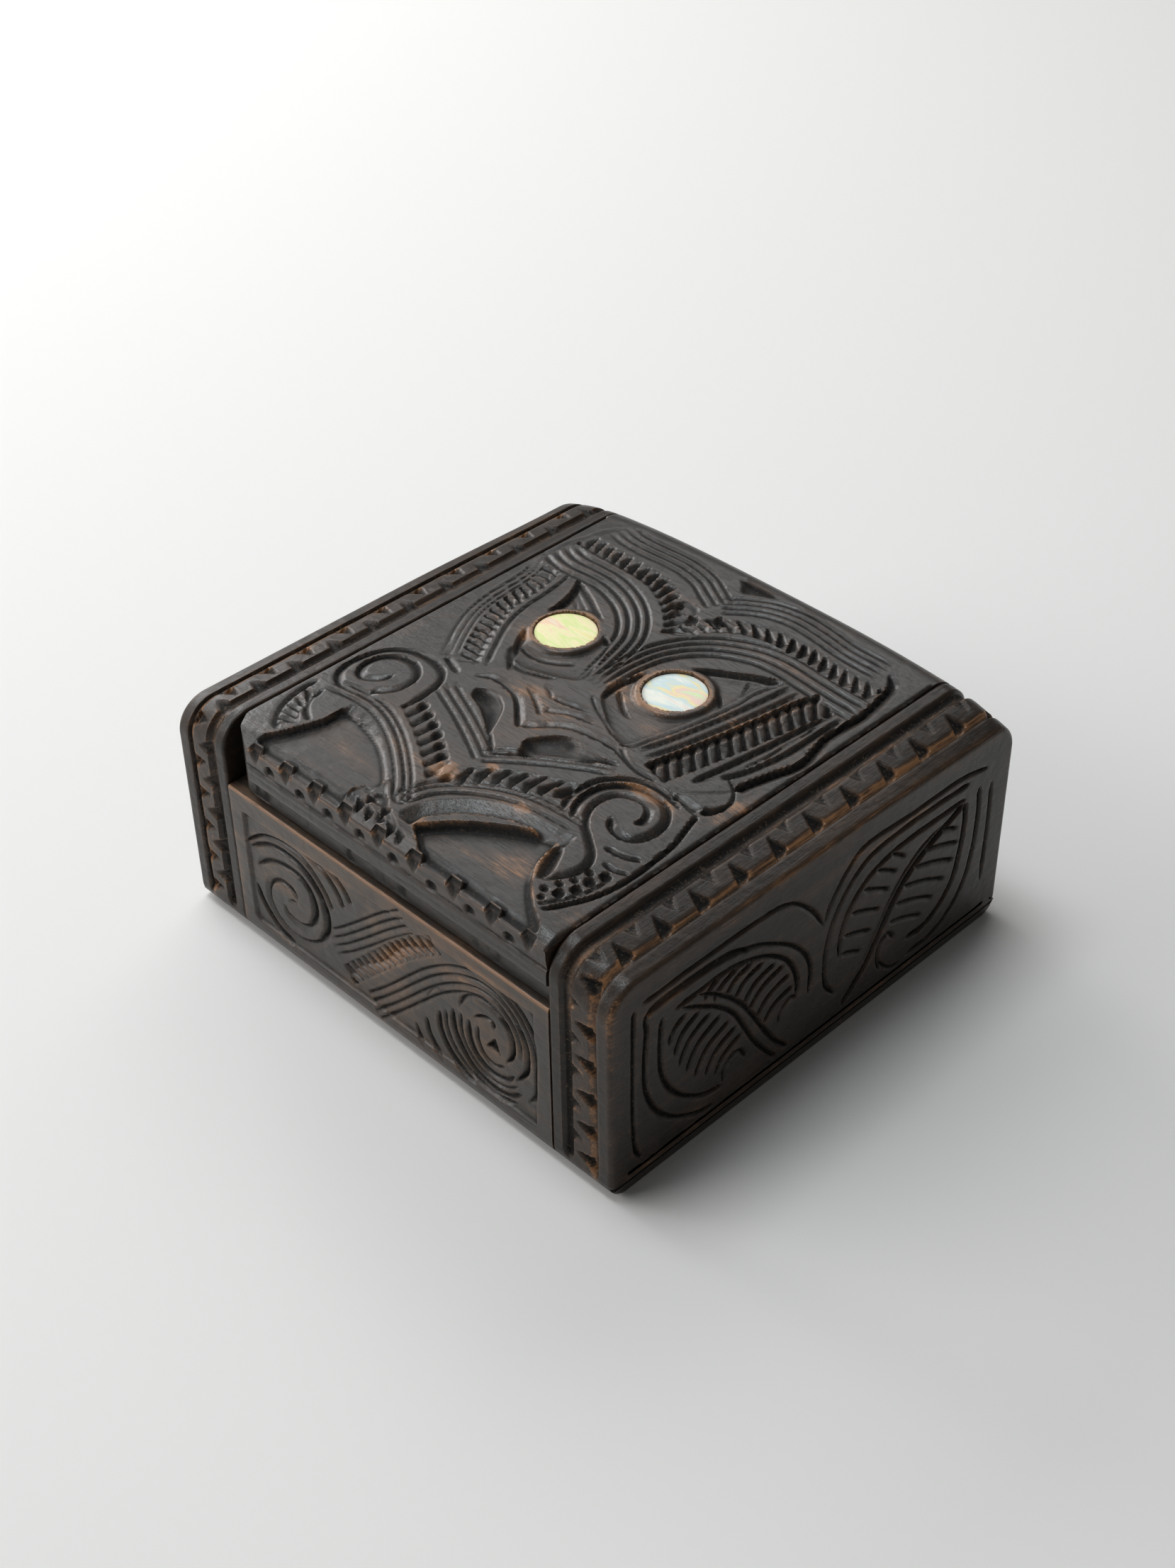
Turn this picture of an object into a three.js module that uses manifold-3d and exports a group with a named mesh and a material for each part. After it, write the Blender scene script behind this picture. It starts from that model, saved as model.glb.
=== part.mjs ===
// Carved wooden box. Its lid turns on two hidden pins between a pair of thick end cheeks.
// Sizes are in millimetres. +X runs to the right along the front, -Y is the front and +Z is up.
// The origin is the middle of the underside.

import * as THREE from 'three';
import { mergeVertices } from 'three/addons/utils/BufferGeometryUtils.js';
import Module from 'manifold-3d';

// Whole box
const BOX_WIDTH = 150;
const BOX_DEPTH = 140;
const BOX_HEIGHT = 68;
const CROWN_FALL = 6; // how much lower the top is at the outer edges than in the middle
const CROWN_POWER = 3; // a higher power keeps the middle flatter
const BOTTOM_RADIUS = 5; // rounding along the front and back bottom edges

// Boards
const CHEEK_THICKNESS = 18.6;
const LID_THICKNESS = 18;
const FRONT_THICKNESS = 10;
const BACK_THICKNESS = 10;
const BASE_THICKNESS = 3;

// Clearances
const GLUE_GAP = 0.2; // between boards that are glued together
const LID_SIDE_GAP = 0.5;
const LID_REST_GAP = 0.3; // lid above the front board it rests on
const LID_BACK_GAP = 0.4; // turning lid above the back board
const HOLE_GAP = 0.3; // all round a pin, dowel, nail or eye

// Strips along the edge of a cheek, from the lid outwards
const INNER_STRIP = 3.3;
const INNER_GROOVE = 2.8;
const TOOTH_BAND = 6.5;
const OUTER_GROOVE = 1.2;
const GROOVE_DEPTH = 1.4;
const FRONT_CORNER_RADIUS = 9;

// Cut teeth of the band
const TOOTH_PITCH = 12.4;
const TOOTH_CUT_LENGTH = 5.6;
const TOOTH_CUT_WIDTH = 4;
const TOOTH_CUT_DEPTH = 1.2;

// Carved outer faces
const SCROLL_WIDTH = 2.2;
const SCROLL_DEPTH = 1.4;
const LEAF_DEPTH = 0.6;
const FRONT_MARGIN_SIDE = 4.1;
const FRONT_MARGIN_TOP = 5.3;
const FRONT_MARGIN_BOTTOM = 5;
const FRONT_FIELD_DEPTH = 1.2;
const SPIRAL_RADIUS = 11.5;
const SPIRAL_OFFSET = 36; // from the middle of the board to the middle of a spiral boss
const SPIRAL_DROP = 1.5; // how far the bosses sit below the middle of the field

// Front edge of the lid
const LIP_HEIGHT = 12; // carved strip, above the finger recess
const RECESS_DEPTH = 2;
const FRONT_ARRIS_FALL = 1.5;
const FRONT_ARRIS_RUN = 4;
const CORNER_CUT_X = 6; // worn away front left corner
const CORNER_CUT_Y = 8.5;
const PIT_RADIUS = 1.6;
const PIT_DEPTH = 1.5;
const PIT_PITCH = 11.8;
const PIT_SHIFT = 3; // the row of pits is this far to the right of the middle
const PIT_COUNT = 8;
const NOTCH_WIDTH = 6;
const NOTCH_HEIGHT = 5;
const NOTCH_DEPTH = 1;

// Eyes and mouth of the mask on the lid
const EYE_RADIUS = 8;
const EYE_THICKNESS = 1.6;
const EYE_SINK = 0.4; // top of an eye below the crown of the lid
const EYE_SPACING = 37.6;
const MASK_SHIFT = -4.1; // the mask sits a little to the left
const EYE_BACK = 13.4; // eyes behind the middle of the box
const EYE_RING_RADIUS = 9.6; // wood left standing round an eye
const MOUTH_DEPTH = 1.6;
const SOCKET_DEPTH = 1.2;
const NOSTRIL_DEPTH = 2;
const BAND_DEPTH = 1.2;
const SPIRAL_DEPTH = 1.5;
const MASK_EDGE_DEPTH = 1.6;

// Pins, dowels and nails
const PIN_RADIUS = 2;
const PIN_IN_CHEEK = 11.5;
const PIN_IN_LID = 12;
const DOWEL_RADIUS = 2.5;
const DOWEL_IN_CHEEK = 10;
const DOWEL_IN_BOARD = 10;
const DOWEL_LOW = 12; // dowel centres above the base board
const DOWEL_HIGH = 32;
const NAIL_RADIUS = 0.9;
const NAIL_HEAD_RADIUS = 2;
const NAIL_HEAD_THICKNESS = 1;
const NAIL_LENGTH = 12;
const NAIL_SINK = 0.2;
const CHEEK_NAIL_Y = 42;
const BOARD_NAIL_X = 28;
const BOARD_NAIL_INSET = 7.5;

// Fineness of round shapes
const ARC_SEGMENTS = 5;
const ROUND_SIDES = 24;
const EYE_SIDES = 40;
const CROWN_STEPS = 14;
const NAIL_SIDES = 12;
const PATH_STEP = 5.5; // length of the straight runs of a carved line
const MERGE_DISTANCE = 1e-4;
const OVERCUT = 1; // how far a cutting shape stands out of the piece it cuts

// Sizes that follow
const HALF_WIDTH = BOX_WIDTH / 2;
const HALF_DEPTH = BOX_DEPTH / 2;
const CHEEK_INSIDE = HALF_WIDTH - CHEEK_THICKNESS;
const SEAM_HEIGHT = crownHeight(CHEEK_INSIDE);
const LID_RADIUS = LID_THICKNESS / 2;
const LID_UNDERSIDE = SEAM_HEIGHT - LID_THICKNESS;
const LID_HALF_WIDTH = CHEEK_INSIDE - LID_SIDE_GAP;
const HINGE_Y = HALF_DEPTH - LID_RADIUS;
const HINGE_Z = SEAM_HEIGHT - LID_RADIUS;
const BOARD_BOTTOM = BASE_THICKNESS + GLUE_GAP;
const BOARD_HALF_LENGTH = CHEEK_INSIDE - GLUE_GAP;
const FRONT_TOP = LID_UNDERSIDE - LID_REST_GAP;
const BACK_TOP = LID_UNDERSIDE - LID_BACK_GAP;
const LIP_BOTTOM = SEAM_HEIGHT - LIP_HEIGHT;
const BAND_INSIDE = CHEEK_INSIDE + INNER_STRIP + INNER_GROOVE;
const BAND_OUTSIDE = BAND_INSIDE + TOOTH_BAND;

// Mouth hollows, as distances to the right of the mask's axis and behind the lid's front edge.
// A smooth line runs through the points, and the front edge closes it.
const MOUTH_LEFT = [[-31, 0], [-41, 5.5], [-36.5, 16], [-33, 26], [-21, 25], [-2, 10.5], [-9, 0]];
const MOUTH_RIGHT = [[52, 0], [48, 6.5], [40, 16], [38, 23], [32, 22.5], [20, 19], [14, 11], [24, 0]];

// Main forms of the mask, as distances to the right of the middle of the box and behind it
const EYE_SOCKETS = [
  [
    [-37.4, 31.8], [-28.6, 27.9], [-19, 22.3], [-10.6, 16.6], [-5, 1.4],
    [-15.5, -4.4], [-27.6, 0.6], [-32.6, 18],
  ],
  [[30, 34.2], [20, 28.8], [11.2, 22.3], [5.4, 15], [2.8, 3], [9, -5], [20, -10.6], [25, 2], [28.4, 24]],
];
const NOSTRILS = [
  [[-20.4, -19.5], [-14.3, -17.6], [-7.8, -23.8], [-5.4, -29], [-14.3, -23.8]],
  [[3.4, -25.2], [7.6, -18.4], [14.5, -18], [24, -17], [15.6, -22.5], [6.4, -29]],
];
const BANDS = [
  { width: 5.6, path: [[-51.5, 48.4], [-32, 46.2], [-22, 45], [-15, 42], [-9, 38.2], [-3, 32]] },
  { width: 5, path: [[49.5, 47.4], [30, 47.2], [20, 47.4], [12, 46], [6, 43], [0.6, 37]] },
  { width: 5.4, path: [[42.6, 35], [40.4, 24], [38.4, 12], [36, 0.5], [33.4, -11.5]] },
  { width: 4, path: [[-46.4, 31], [-43.6, 20], [-42.2, 9.5], [-37, -2], [-31, -12]] },
  { width: 5.6, path: [[-26.6, -34], [-16, -39], [-4, -46.6], [-1, -49]] },
  { width: 5.6, path: [[2.4, -45], [10, -38.8], [24, -31.6]] },
  { width: 2, path: [[-7, 53.2], [-20, 57], [-34, 57.4], [-46, 60]] },
  { width: 2, path: [[1.6, 53.4], [14, 58.6], [30, 57.6], [44, 57.4]] },
];
const SPIRALS = [
  {
    width: 2.6,
    path: [
      [-28, -34], [-28.6, -24], [-36, -18.4], [-46, -18.6], [-52.6, -25], [-52.6, -34], [-46, -39.6],
    ],
  },
  {
    width: 3,
    path: [
      [-41, -31], [-46, -33.6], [-49, -28.6], [-45, -23.4], [-37.6, -24], [-35.4, -30], [-38.6, -36],
    ],
  },
  { width: 2.2, path: [[27, -36], [25.2, -28], [29, -19.6], [37, -16.4], [46, -17.6]] },
  {
    width: 2.6,
    path: [
      [38.6, -32.4], [43.6, -33.4], [46.6, -28], [44, -21], [36, -19.2], [29.4, -24], [28.8, -33],
    ],
  },
  {
    width: 3,
    path: [
      [41, -27.6], [37.4, -24.6], [33.6, -28.3], [35, -34.4], [43, -41], [46.4, -48], [43.4, -55],
    ],
  },
];
const MASK_EDGES = [
  { width: 1.8, path: [[48.4, 54], [50.6, 46], [50.6, 32], [53, 16], [49.4, 0], [51.6, -9], [49.6, -17]] },
  { width: 1.8, path: [[49.6, -17], [52.8, -30], [52.8, -48], [48, -62]] },
  { width: 1.6, path: [[-48.4, 57.6], [-53.8, 41], [-51.2, 16], [-44.8, -4.4], [-37, -14.6]] },
  { width: 1.6, path: [[-52.8, -43], [-51.4, -54], [-44.6, -61.6]] },
];

// Carved lines and leaves of a cheek's outer face, as distances behind the middle and above the underside
const SCROLLS = [
  [[-62.4, 53], [-62.6, 32], [-61.4, 10]],
  [[-58.2, 49], [-59.2, 34], [-55.6, 18.4], [-42.8, 8.2], [-36.4, 6.8]],
  [[-57.4, 51], [-40, 51], [-24, 47.8], [-9.8, 38.2], [-3.8, 26], [-4.6, 19.4]],
  [[-54.2, 46], [-54, 30], [-46.4, 16.4], [-34, 11]],
  [[-49, 46.2], [-32, 46.4], [-17.6, 40.4], [-8.8, 27]],
  [[-45, 44], [-32, 35.6], [-24, 23], [-13, 7]],
  [[-59, 55], [-20, 54.8], [-8.2, 49.8], [-1, 41]],
  [[1.4, 41], [8.2, 51.6], [16, 54.6], [48, 54], [58, 52.2]],
  [[52, 50.6], [20, 51], [7, 42.8], [2, 26], [5.8, 13.4]],
  [[51, 46.2], [26, 46.4], [10.4, 38.4], [7.4, 25.4]],
  [[51, 43.8], [37, 37.6], [25.6, 27], [17, 13.6], [9.8, 7]],
  [[52.2, 43], [51.8, 30], [45.8, 16.6], [33.4, 13]],
  [[57.2, 46], [57, 28], [49.8, 12], [34, 7.6]],
];
const LEAVES = [
  [[-50, 40], [-42, 39], [-30, 29], [-26, 20], [-36, 15], [-46, 22]],
  [[-38, 43], [-26, 43], [-14, 36], [-10, 27], [-19, 20], [-27, 32]],
  [[32, 43], [18, 43], [9, 33], [9, 23], [15, 19], [22, 30]],
  [[49, 40], [50, 30], [42, 19], [32, 16], [25, 21], [36, 35]],
];

const wasm = await Module();
wasm.setup();

// Height of the crowned top of the box at a distance x from its middle
function crownHeight(x) {
  return BOX_HEIGHT - CROWN_FALL * Math.abs(x / (BOX_WIDTH / 2)) ** CROWN_POWER;
}

// Solid of a closed geometry
function solidOf(geometry) {
  const bare = geometry.index ? geometry.toNonIndexed() : geometry;
  bare.deleteAttribute('normal');
  bare.deleteAttribute('uv');
  const merged = mergeVertices(bare, MERGE_DISTANCE);
  return new wasm.Manifold(new wasm.Mesh({
    numProp: 3,
    vertProperties: new Float32Array(merged.attributes.position.array),
    triVerts: new Uint32Array(merged.index.array),
  }));
}

// Geometry of a solid
function geometryOf(solid) {
  const mesh = solid.getMesh();
  const geometry = new THREE.BufferGeometry();
  geometry.setAttribute('position', new THREE.BufferAttribute(mesh.vertProperties, 3));
  geometry.setIndex(new THREE.BufferAttribute(mesh.triVerts, 1));
  return geometry;
}

// Outline from a list of corner points
function outline(points) {
  return new THREE.Shape(points.map(([u, v]) => new THREE.Vector2(u, v)));
}

// Shape drawn in Y and Z, extruded from x0 to x1
function alongX(shape, x0, x1, steps = 1) {
  const geometry = new THREE.ExtrudeGeometry(shape, {
    depth: x1 - x0, steps, bevelEnabled: false, curveSegments: ARC_SEGMENTS,
  });
  geometry.applyMatrix4(new THREE.Matrix4().makeBasis(
    new THREE.Vector3(0, 1, 0), new THREE.Vector3(0, 0, 1), new THREE.Vector3(1, 0, 0),
  ));
  return geometry.translate(x0, 0, 0);
}

// Shape drawn in X and Z, extruded from y0 to y1
function alongY(shape, y0, y1) {
  const geometry = new THREE.ExtrudeGeometry(shape, {
    depth: y1 - y0, bevelEnabled: false, curveSegments: ARC_SEGMENTS,
  });
  geometry.applyMatrix4(new THREE.Matrix4().makeBasis(
    new THREE.Vector3(1, 0, 0), new THREE.Vector3(0, 0, 1), new THREE.Vector3(0, -1, 0),
  ));
  return geometry.translate(0, y1, 0);
}

// Shape drawn in X and Y, extruded from z0 to z1
function alongZ(shape, z0, z1) {
  const geometry = new THREE.ExtrudeGeometry(shape, {
    depth: z1 - z0, bevelEnabled: false, curveSegments: ARC_SEGMENTS,
  });
  return geometry.translate(0, 0, z0);
}

// Block between two corners
function block(x0, x1, y0, y1, z0, z1) {
  const geometry = new THREE.BoxGeometry(x1 - x0, y1 - y0, z1 - z0);
  return geometry.translate((x0 + x1) / 2, (y0 + y1) / 2, (z0 + z1) / 2);
}

// Round bar along X, Y or Z between two places on that axis
function bar(axis, radius, from, to, centre, sides = ROUND_SIDES) {
  const geometry = new THREE.CylinderGeometry(radius, radius, to - from, sides);
  const middle = (from + to) / 2;
  if (axis === 'x') {
    return geometry.rotateZ(Math.PI / 2).translate(middle, centre[0], centre[1]);
  }
  if (axis === 'y') {
    return geometry.translate(centre[0], middle, centre[1]);
  }
  return geometry.rotateX(Math.PI / 2).translate(centre[0], centre[1], middle);
}

// Moves each point of a geometry up or down by a rule of its x, y and z
function raise(geometry, rule) {
  const position = geometry.attributes.position;
  for (let i = 0; i < position.count; i += 1) {
    position.setZ(i, rule(position.getX(i), position.getY(i), position.getZ(i)));
  }
  return geometry;
}

// Side outline of the box in Y and Z: round corners, set in by an inset except along the bottom
function boxOutline(inset) {
  const front = -HALF_DEPTH + inset;
  const back = HALF_DEPTH - inset;
  const top = SEAM_HEIGHT - inset;
  const frontRadius = FRONT_CORNER_RADIUS - inset;
  const backRadius = LID_RADIUS - inset;
  const bottomRadius = BOTTOM_RADIUS - inset;
  const turn = Math.PI / 2;
  const shape = new THREE.Shape();
  shape.absarc(front + bottomRadius, bottomRadius, bottomRadius, -turn, -2 * turn, true);
  shape.absarc(front + frontRadius, top - frontRadius, frontRadius, 2 * turn, turn, true);
  shape.absarc(back - backRadius, top - backRadius, backRadius, turn, 0, true);
  shape.absarc(back - bottomRadius, bottomRadius, bottomRadius, 0, -turn, true);
  return shape;
}

// Strip of an even width along a smooth line
function strip(points, width) {
  const curve = new THREE.SplineCurve(points.map(([u, v]) => new THREE.Vector2(u, v)));
  const path = curve.getSpacedPoints(Math.max(2, Math.ceil(curve.getLength() / PATH_STEP)));
  const left = [];
  const right = [];
  path.forEach((point, i) => {
    const ahead = path[Math.min(i + 1, path.length - 1)];
    const behind = path[Math.max(i - 1, 0)];
    const along = ahead.clone().sub(behind).normalize().multiplyScalar(width / 2);
    left.push(new THREE.Vector2(point.x - along.y, point.y + along.x));
    right.unshift(new THREE.Vector2(point.x + along.y, point.y - along.x));
  });
  return new THREE.Shape([...left, ...right]);
}

// Shape with a smooth closed edge
function rounded(points) {
  const corners = points.map(([u, v]) => new THREE.Vector3(u, v, 0));
  const curve = new THREE.CatmullRomCurve3(corners, true);
  const path = curve.getSpacedPoints(Math.ceil(curve.getLength() / PATH_STEP)).slice(0, -1);
  return new THREE.Shape(path.map(({ x, y }) => new THREE.Vector2(x, y)));
}

// Evenly spaced places on both sides of a middle, within a half length
function spaced(halfLength, pitch) {
  const count = 2 * Math.floor((halfLength + pitch / 2) / pitch);
  return Array.from({ length: count }, (_, i) => (i - (count - 1) / 2) * pitch);
}

// Joins many cutting geometries
function joined(geometries) {
  return geometries.map(solidOf).reduce((whole, solid) => whole.add(solid));
}

// Places of the dowels and nails
const DOWEL_HEIGHTS = { lower: BASE_THICKNESS + DOWEL_LOW, upper: BASE_THICKNESS + DOWEL_HIGH };
const BOARD_MIDDLES = {
  front: -HALF_DEPTH + FRONT_THICKNESS / 2,
  back: HALF_DEPTH - BACK_THICKNESS / 2,
};
const SIDES = { left: -1, right: 1 };
const CHEEK_MIDDLE = HALF_WIDTH - CHEEK_THICKNESS / 2;
const NAIL_PLACES = {
  left_cheek_front: [-CHEEK_MIDDLE, -CHEEK_NAIL_Y],
  left_cheek_back: [-CHEEK_MIDDLE, CHEEK_NAIL_Y],
  right_cheek_front: [CHEEK_MIDDLE, -CHEEK_NAIL_Y],
  right_cheek_back: [CHEEK_MIDDLE, CHEEK_NAIL_Y],
  front_left: [-BOARD_NAIL_X, -HALF_DEPTH + BOARD_NAIL_INSET],
  front_right: [BOARD_NAIL_X, -HALF_DEPTH + BOARD_NAIL_INSET],
  back_left: [-BOARD_NAIL_X, HALF_DEPTH - BOARD_NAIL_INSET],
  back_right: [BOARD_NAIL_X, HALF_DEPTH - BOARD_NAIL_INSET],
};

// Holes for every dowel, for every nail and for both pins
function dowelHoles() {
  const reach = DOWEL_IN_CHEEK + HOLE_GAP;
  const depth = DOWEL_IN_BOARD + HOLE_GAP;
  const holes = [];
  for (const side of Object.values(SIDES)) {
    for (const y of Object.values(BOARD_MIDDLES)) {
      for (const z of Object.values(DOWEL_HEIGHTS)) {
        const ends = [side * (CHEEK_INSIDE - GLUE_GAP - depth), side * (CHEEK_INSIDE + reach)];
        holes.push(bar('x', DOWEL_RADIUS + HOLE_GAP, Math.min(...ends), Math.max(...ends), [y, z]));
      }
    }
  }
  return joined(holes);
}

function nailHoles() {
  const headTop = NAIL_SINK + NAIL_HEAD_THICKNESS + HOLE_GAP;
  const tip = NAIL_SINK + NAIL_LENGTH + HOLE_GAP;
  return joined(Object.values(NAIL_PLACES).flatMap((place) => [
    bar('z', NAIL_RADIUS + HOLE_GAP, 0, tip, place),
    bar('z', NAIL_HEAD_RADIUS + HOLE_GAP, -OVERCUT, headTop, place),
  ]));
}

function pinHoles() {
  const inner = LID_HALF_WIDTH - PIN_IN_LID - HOLE_GAP;
  const outer = CHEEK_INSIDE + PIN_IN_CHEEK + HOLE_GAP;
  const centre = [HINGE_Y, HINGE_Z];
  return joined([
    bar('x', PIN_RADIUS + HOLE_GAP, inner, outer, centre),
    bar('x', PIN_RADIUS + HOLE_GAP, -outer, -inner, centre),
  ]);
}

const DOWEL_HOLES = dowelHoles();
const NAIL_HOLES = nailHoles();
const PIN_HOLES = pinHoles();

// Base board, with the round bottom edges of the box
function baseBoard() {
  const board = solidOf(alongX(boxOutline(0), -HALF_WIDTH, HALF_WIDTH));
  const above = block(-BOX_WIDTH, BOX_WIDTH, -BOX_DEPTH, BOX_DEPTH, BASE_THICKNESS, 2 * BOX_HEIGHT);
  return board.subtract(solidOf(above)).subtract(NAIL_HOLES);
}

// Triangular cuts that leave the band of teeth, on the top, front and back of the right cheek
function toothCuts() {
  const half = TOOTH_CUT_LENGTH / 2;
  const cuts = [];
  const wedge = (place, side) => outline([
    [side < 0 ? BAND_INSIDE - OVERCUT : BAND_OUTSIDE + OVERCUT, place - half],
    [side < 0 ? BAND_INSIDE - OVERCUT : BAND_OUTSIDE + OVERCUT, place + half],
    [side < 0 ? BAND_INSIDE + TOOTH_CUT_WIDTH / 2 : BAND_OUTSIDE - TOOTH_CUT_WIDTH, place + half],
  ]);
  const middle = (BOARD_BOTTOM + SEAM_HEIGHT - FRONT_CORNER_RADIUS) / 2;
  const rows = [
    [HALF_DEPTH - FRONT_CORNER_RADIUS, 0, (shape) => (
      alongZ(shape, SEAM_HEIGHT - TOOTH_CUT_DEPTH, SEAM_HEIGHT + OVERCUT))],
    [middle - BOARD_BOTTOM - TOOTH_CUT_LENGTH, middle, (shape) => (
      alongY(shape, -HALF_DEPTH - OVERCUT, -HALF_DEPTH + TOOTH_CUT_DEPTH))],
    [middle - BOARD_BOTTOM - TOOTH_CUT_LENGTH, middle, (shape) => (
      alongY(shape, HALF_DEPTH - TOOTH_CUT_DEPTH, HALF_DEPTH + OVERCUT))],
  ];
  for (const [halfLength, centre, extruded] of rows) {
    for (const place of spaced(halfLength, TOOTH_PITCH)) {
      cuts.push(extruded(wedge(centre + place, 1)));
      cuts.push(extruded(wedge(centre + place + TOOTH_PITCH / 2, -1)));
    }
  }
  return joined(cuts);
}

// Carved lines and leaves of the right cheek's outer face
function cheekCarving() {
  const outside = HALF_WIDTH + OVERCUT;
  const lines = SCROLLS.map((path) => (
    alongX(strip(path, SCROLL_WIDTH), HALF_WIDTH - SCROLL_DEPTH, outside)));
  const leaves = LEAVES.map((edge) => alongX(rounded(edge), HALF_WIDTH - LEAF_DEPTH, outside));
  return joined([...lines, ...leaves]);
}

// Right end cheek before its holes: grooves and teeth along its edge, then the crown, then the carved face
function cheekBlank() {
  const reach = [-HALF_DEPTH - OVERCUT, HALF_DEPTH + OVERCUT, BOARD_BOTTOM, SEAM_HEIGHT + OVERCUT];
  const inner = solidOf(alongX(boxOutline(GROOVE_DEPTH), CHEEK_INSIDE - OVERCUT, HALF_WIDTH + OVERCUT));
  const grooves = [
    [CHEEK_INSIDE + INNER_STRIP, BAND_INSIDE],
    [BAND_OUTSIDE, BAND_OUTSIDE + OUTER_GROOVE],
  ].map(([x0, x1]) => solidOf(block(x0, x1, ...reach)).subtract(inner));
  let cheek = solidOf(alongX(boxOutline(0), CHEEK_INSIDE, HALF_WIDTH));
  cheek = cheek.subtract(solidOf(block(0, BOX_WIDTH, -BOX_DEPTH, BOX_DEPTH, -OVERCUT, BOARD_BOTTOM)));
  cheek = grooves.reduce((solid, groove) => solid.subtract(groove), cheek);
  cheek = cheek.subtract(toothCuts());
  const crowned = raise(geometryOf(cheek), (x, y, z) => {
    const share = (z - BOARD_BOTTOM) / (SEAM_HEIGHT - BOARD_BOTTOM);
    return z + share * (crownHeight(x) - SEAM_HEIGHT);
  });
  return solidOf(crowned).subtract(cheekCarving());
}

const CHEEK_BLANK = cheekBlank();

// Left or right cheek with all its holes
function cheek(side) {
  const blank = side > 0 ? CHEEK_BLANK : CHEEK_BLANK.mirror([1, 0, 0]);
  return blank.subtract(DOWEL_HOLES).subtract(NAIL_HOLES).subtract(PIN_HOLES);
}

// Front or back board: a sunk field with two round bosses where the spirals are carved
function longBoard(side, thickness, top) {
  const outside = side * HALF_DEPTH;
  const inside = side * (HALF_DEPTH - thickness);
  const floor = side * (HALF_DEPTH - FRONT_FIELD_DEPTH);
  const beyond = side * (HALF_DEPTH + OVERCUT);
  const between = (a, b) => [Math.min(a, b), Math.max(a, b)];
  const body = solidOf(alongX(boxOutline(0), -BOARD_HALF_LENGTH, BOARD_HALF_LENGTH));
  const board = solidOf(block(
    -BOARD_HALF_LENGTH, BOARD_HALF_LENGTH, ...between(outside, inside), BOARD_BOTTOM, top,
  ));
  const fieldHalf = BOARD_HALF_LENGTH - FRONT_MARGIN_SIDE;
  const fieldLow = BASE_THICKNESS + FRONT_MARGIN_BOTTOM;
  const fieldHigh = top - FRONT_MARGIN_TOP;
  const field = block(-fieldHalf, fieldHalf, ...between(floor, beyond), fieldLow, fieldHigh);
  const bossHeight = (fieldLow + fieldHigh) / 2 - SPIRAL_DROP;
  const bosses = [-SPIRAL_OFFSET, SPIRAL_OFFSET].map((x) => (
    bar('y', SPIRAL_RADIUS, ...between(floor, beyond), [x, bossHeight])));
  const sunk = solidOf(field).subtract(joined(bosses));
  return board.intersect(body).subtract(sunk).subtract(DOWEL_HOLES).subtract(NAIL_HOLES);
}

// Section of the lid in Y and Z, with its round back edge and the finger recess at the front
function lidSection() {
  const front = -HALF_DEPTH;
  const shape = new THREE.Shape();
  shape.moveTo(front + RECESS_DEPTH, LID_UNDERSIDE);
  shape.lineTo(front + RECESS_DEPTH, LIP_BOTTOM);
  shape.lineTo(front, LIP_BOTTOM);
  shape.lineTo(front, SEAM_HEIGHT - FRONT_ARRIS_FALL);
  shape.lineTo(front + FRONT_ARRIS_RUN, SEAM_HEIGHT);
  shape.absarc(HINGE_Y, HINGE_Z, LID_RADIUS, Math.PI / 2, -Math.PI / 2, true);
  return shape;
}

// Rows of round pits and triangular notches along the lid's front strip
function lipCuts() {
  const front = -HALF_DEPTH;
  const middle = LIP_BOTTOM + LIP_HEIGHT / 2;
  const cuts = [];
  for (let i = 0; i < PIT_COUNT; i += 1) {
    const x = PIT_SHIFT + (i - (PIT_COUNT - 1) / 2) * PIT_PITCH;
    const notch = x + PIT_PITCH / 2;
    cuts.push(bar('y', PIT_RADIUS, front - OVERCUT, front + PIT_DEPTH, [x, middle]));
    cuts.push(alongY(outline([
      [notch, middle - NOTCH_HEIGHT / 2],
      [notch + NOTCH_WIDTH / 2, middle + NOTCH_HEIGHT / 2],
      [notch - NOTCH_WIDTH / 2, middle + NOTCH_HEIGHT / 2],
    ]), front - OVERCUT, front + NOTCH_DEPTH));
  }
  return joined(cuts);
}

// A hollow of the mouth, cut down from above the crown
function mouthHollow(points) {
  const placed = points.map(([x, y]) => (
    new THREE.Vector2(MASK_SHIFT + x, y - HALF_DEPTH - (y > 0 ? 0 : OVERCUT))));
  const shape = new THREE.Shape();
  shape.moveTo(placed[0].x, placed[0].y);
  shape.splineThru(placed.slice(1));
  return solidOf(alongZ(shape, SEAM_HEIGHT - MOUTH_DEPTH, BOX_HEIGHT + OVERCUT));
}

const EYE_TOP = crownHeight(EYE_SPACING / 2 - MASK_SHIFT) - EYE_SINK;
const EYE_BOTTOM = EYE_TOP - EYE_THICKNESS;
const EYE_PLACES = {
  left: [MASK_SHIFT - EYE_SPACING / 2, EYE_BACK],
  right: [MASK_SHIFT + EYE_SPACING / 2, EYE_BACK],
};

// Cutter that sinks a shape into the crowned top
function intoTop(shape, depth) {
  return raise(alongZ(shape, 0, 1), (x, y, z) => (z > 0.5 ? BOX_HEIGHT + OVERCUT : crownHeight(x) - depth));
}

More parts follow.
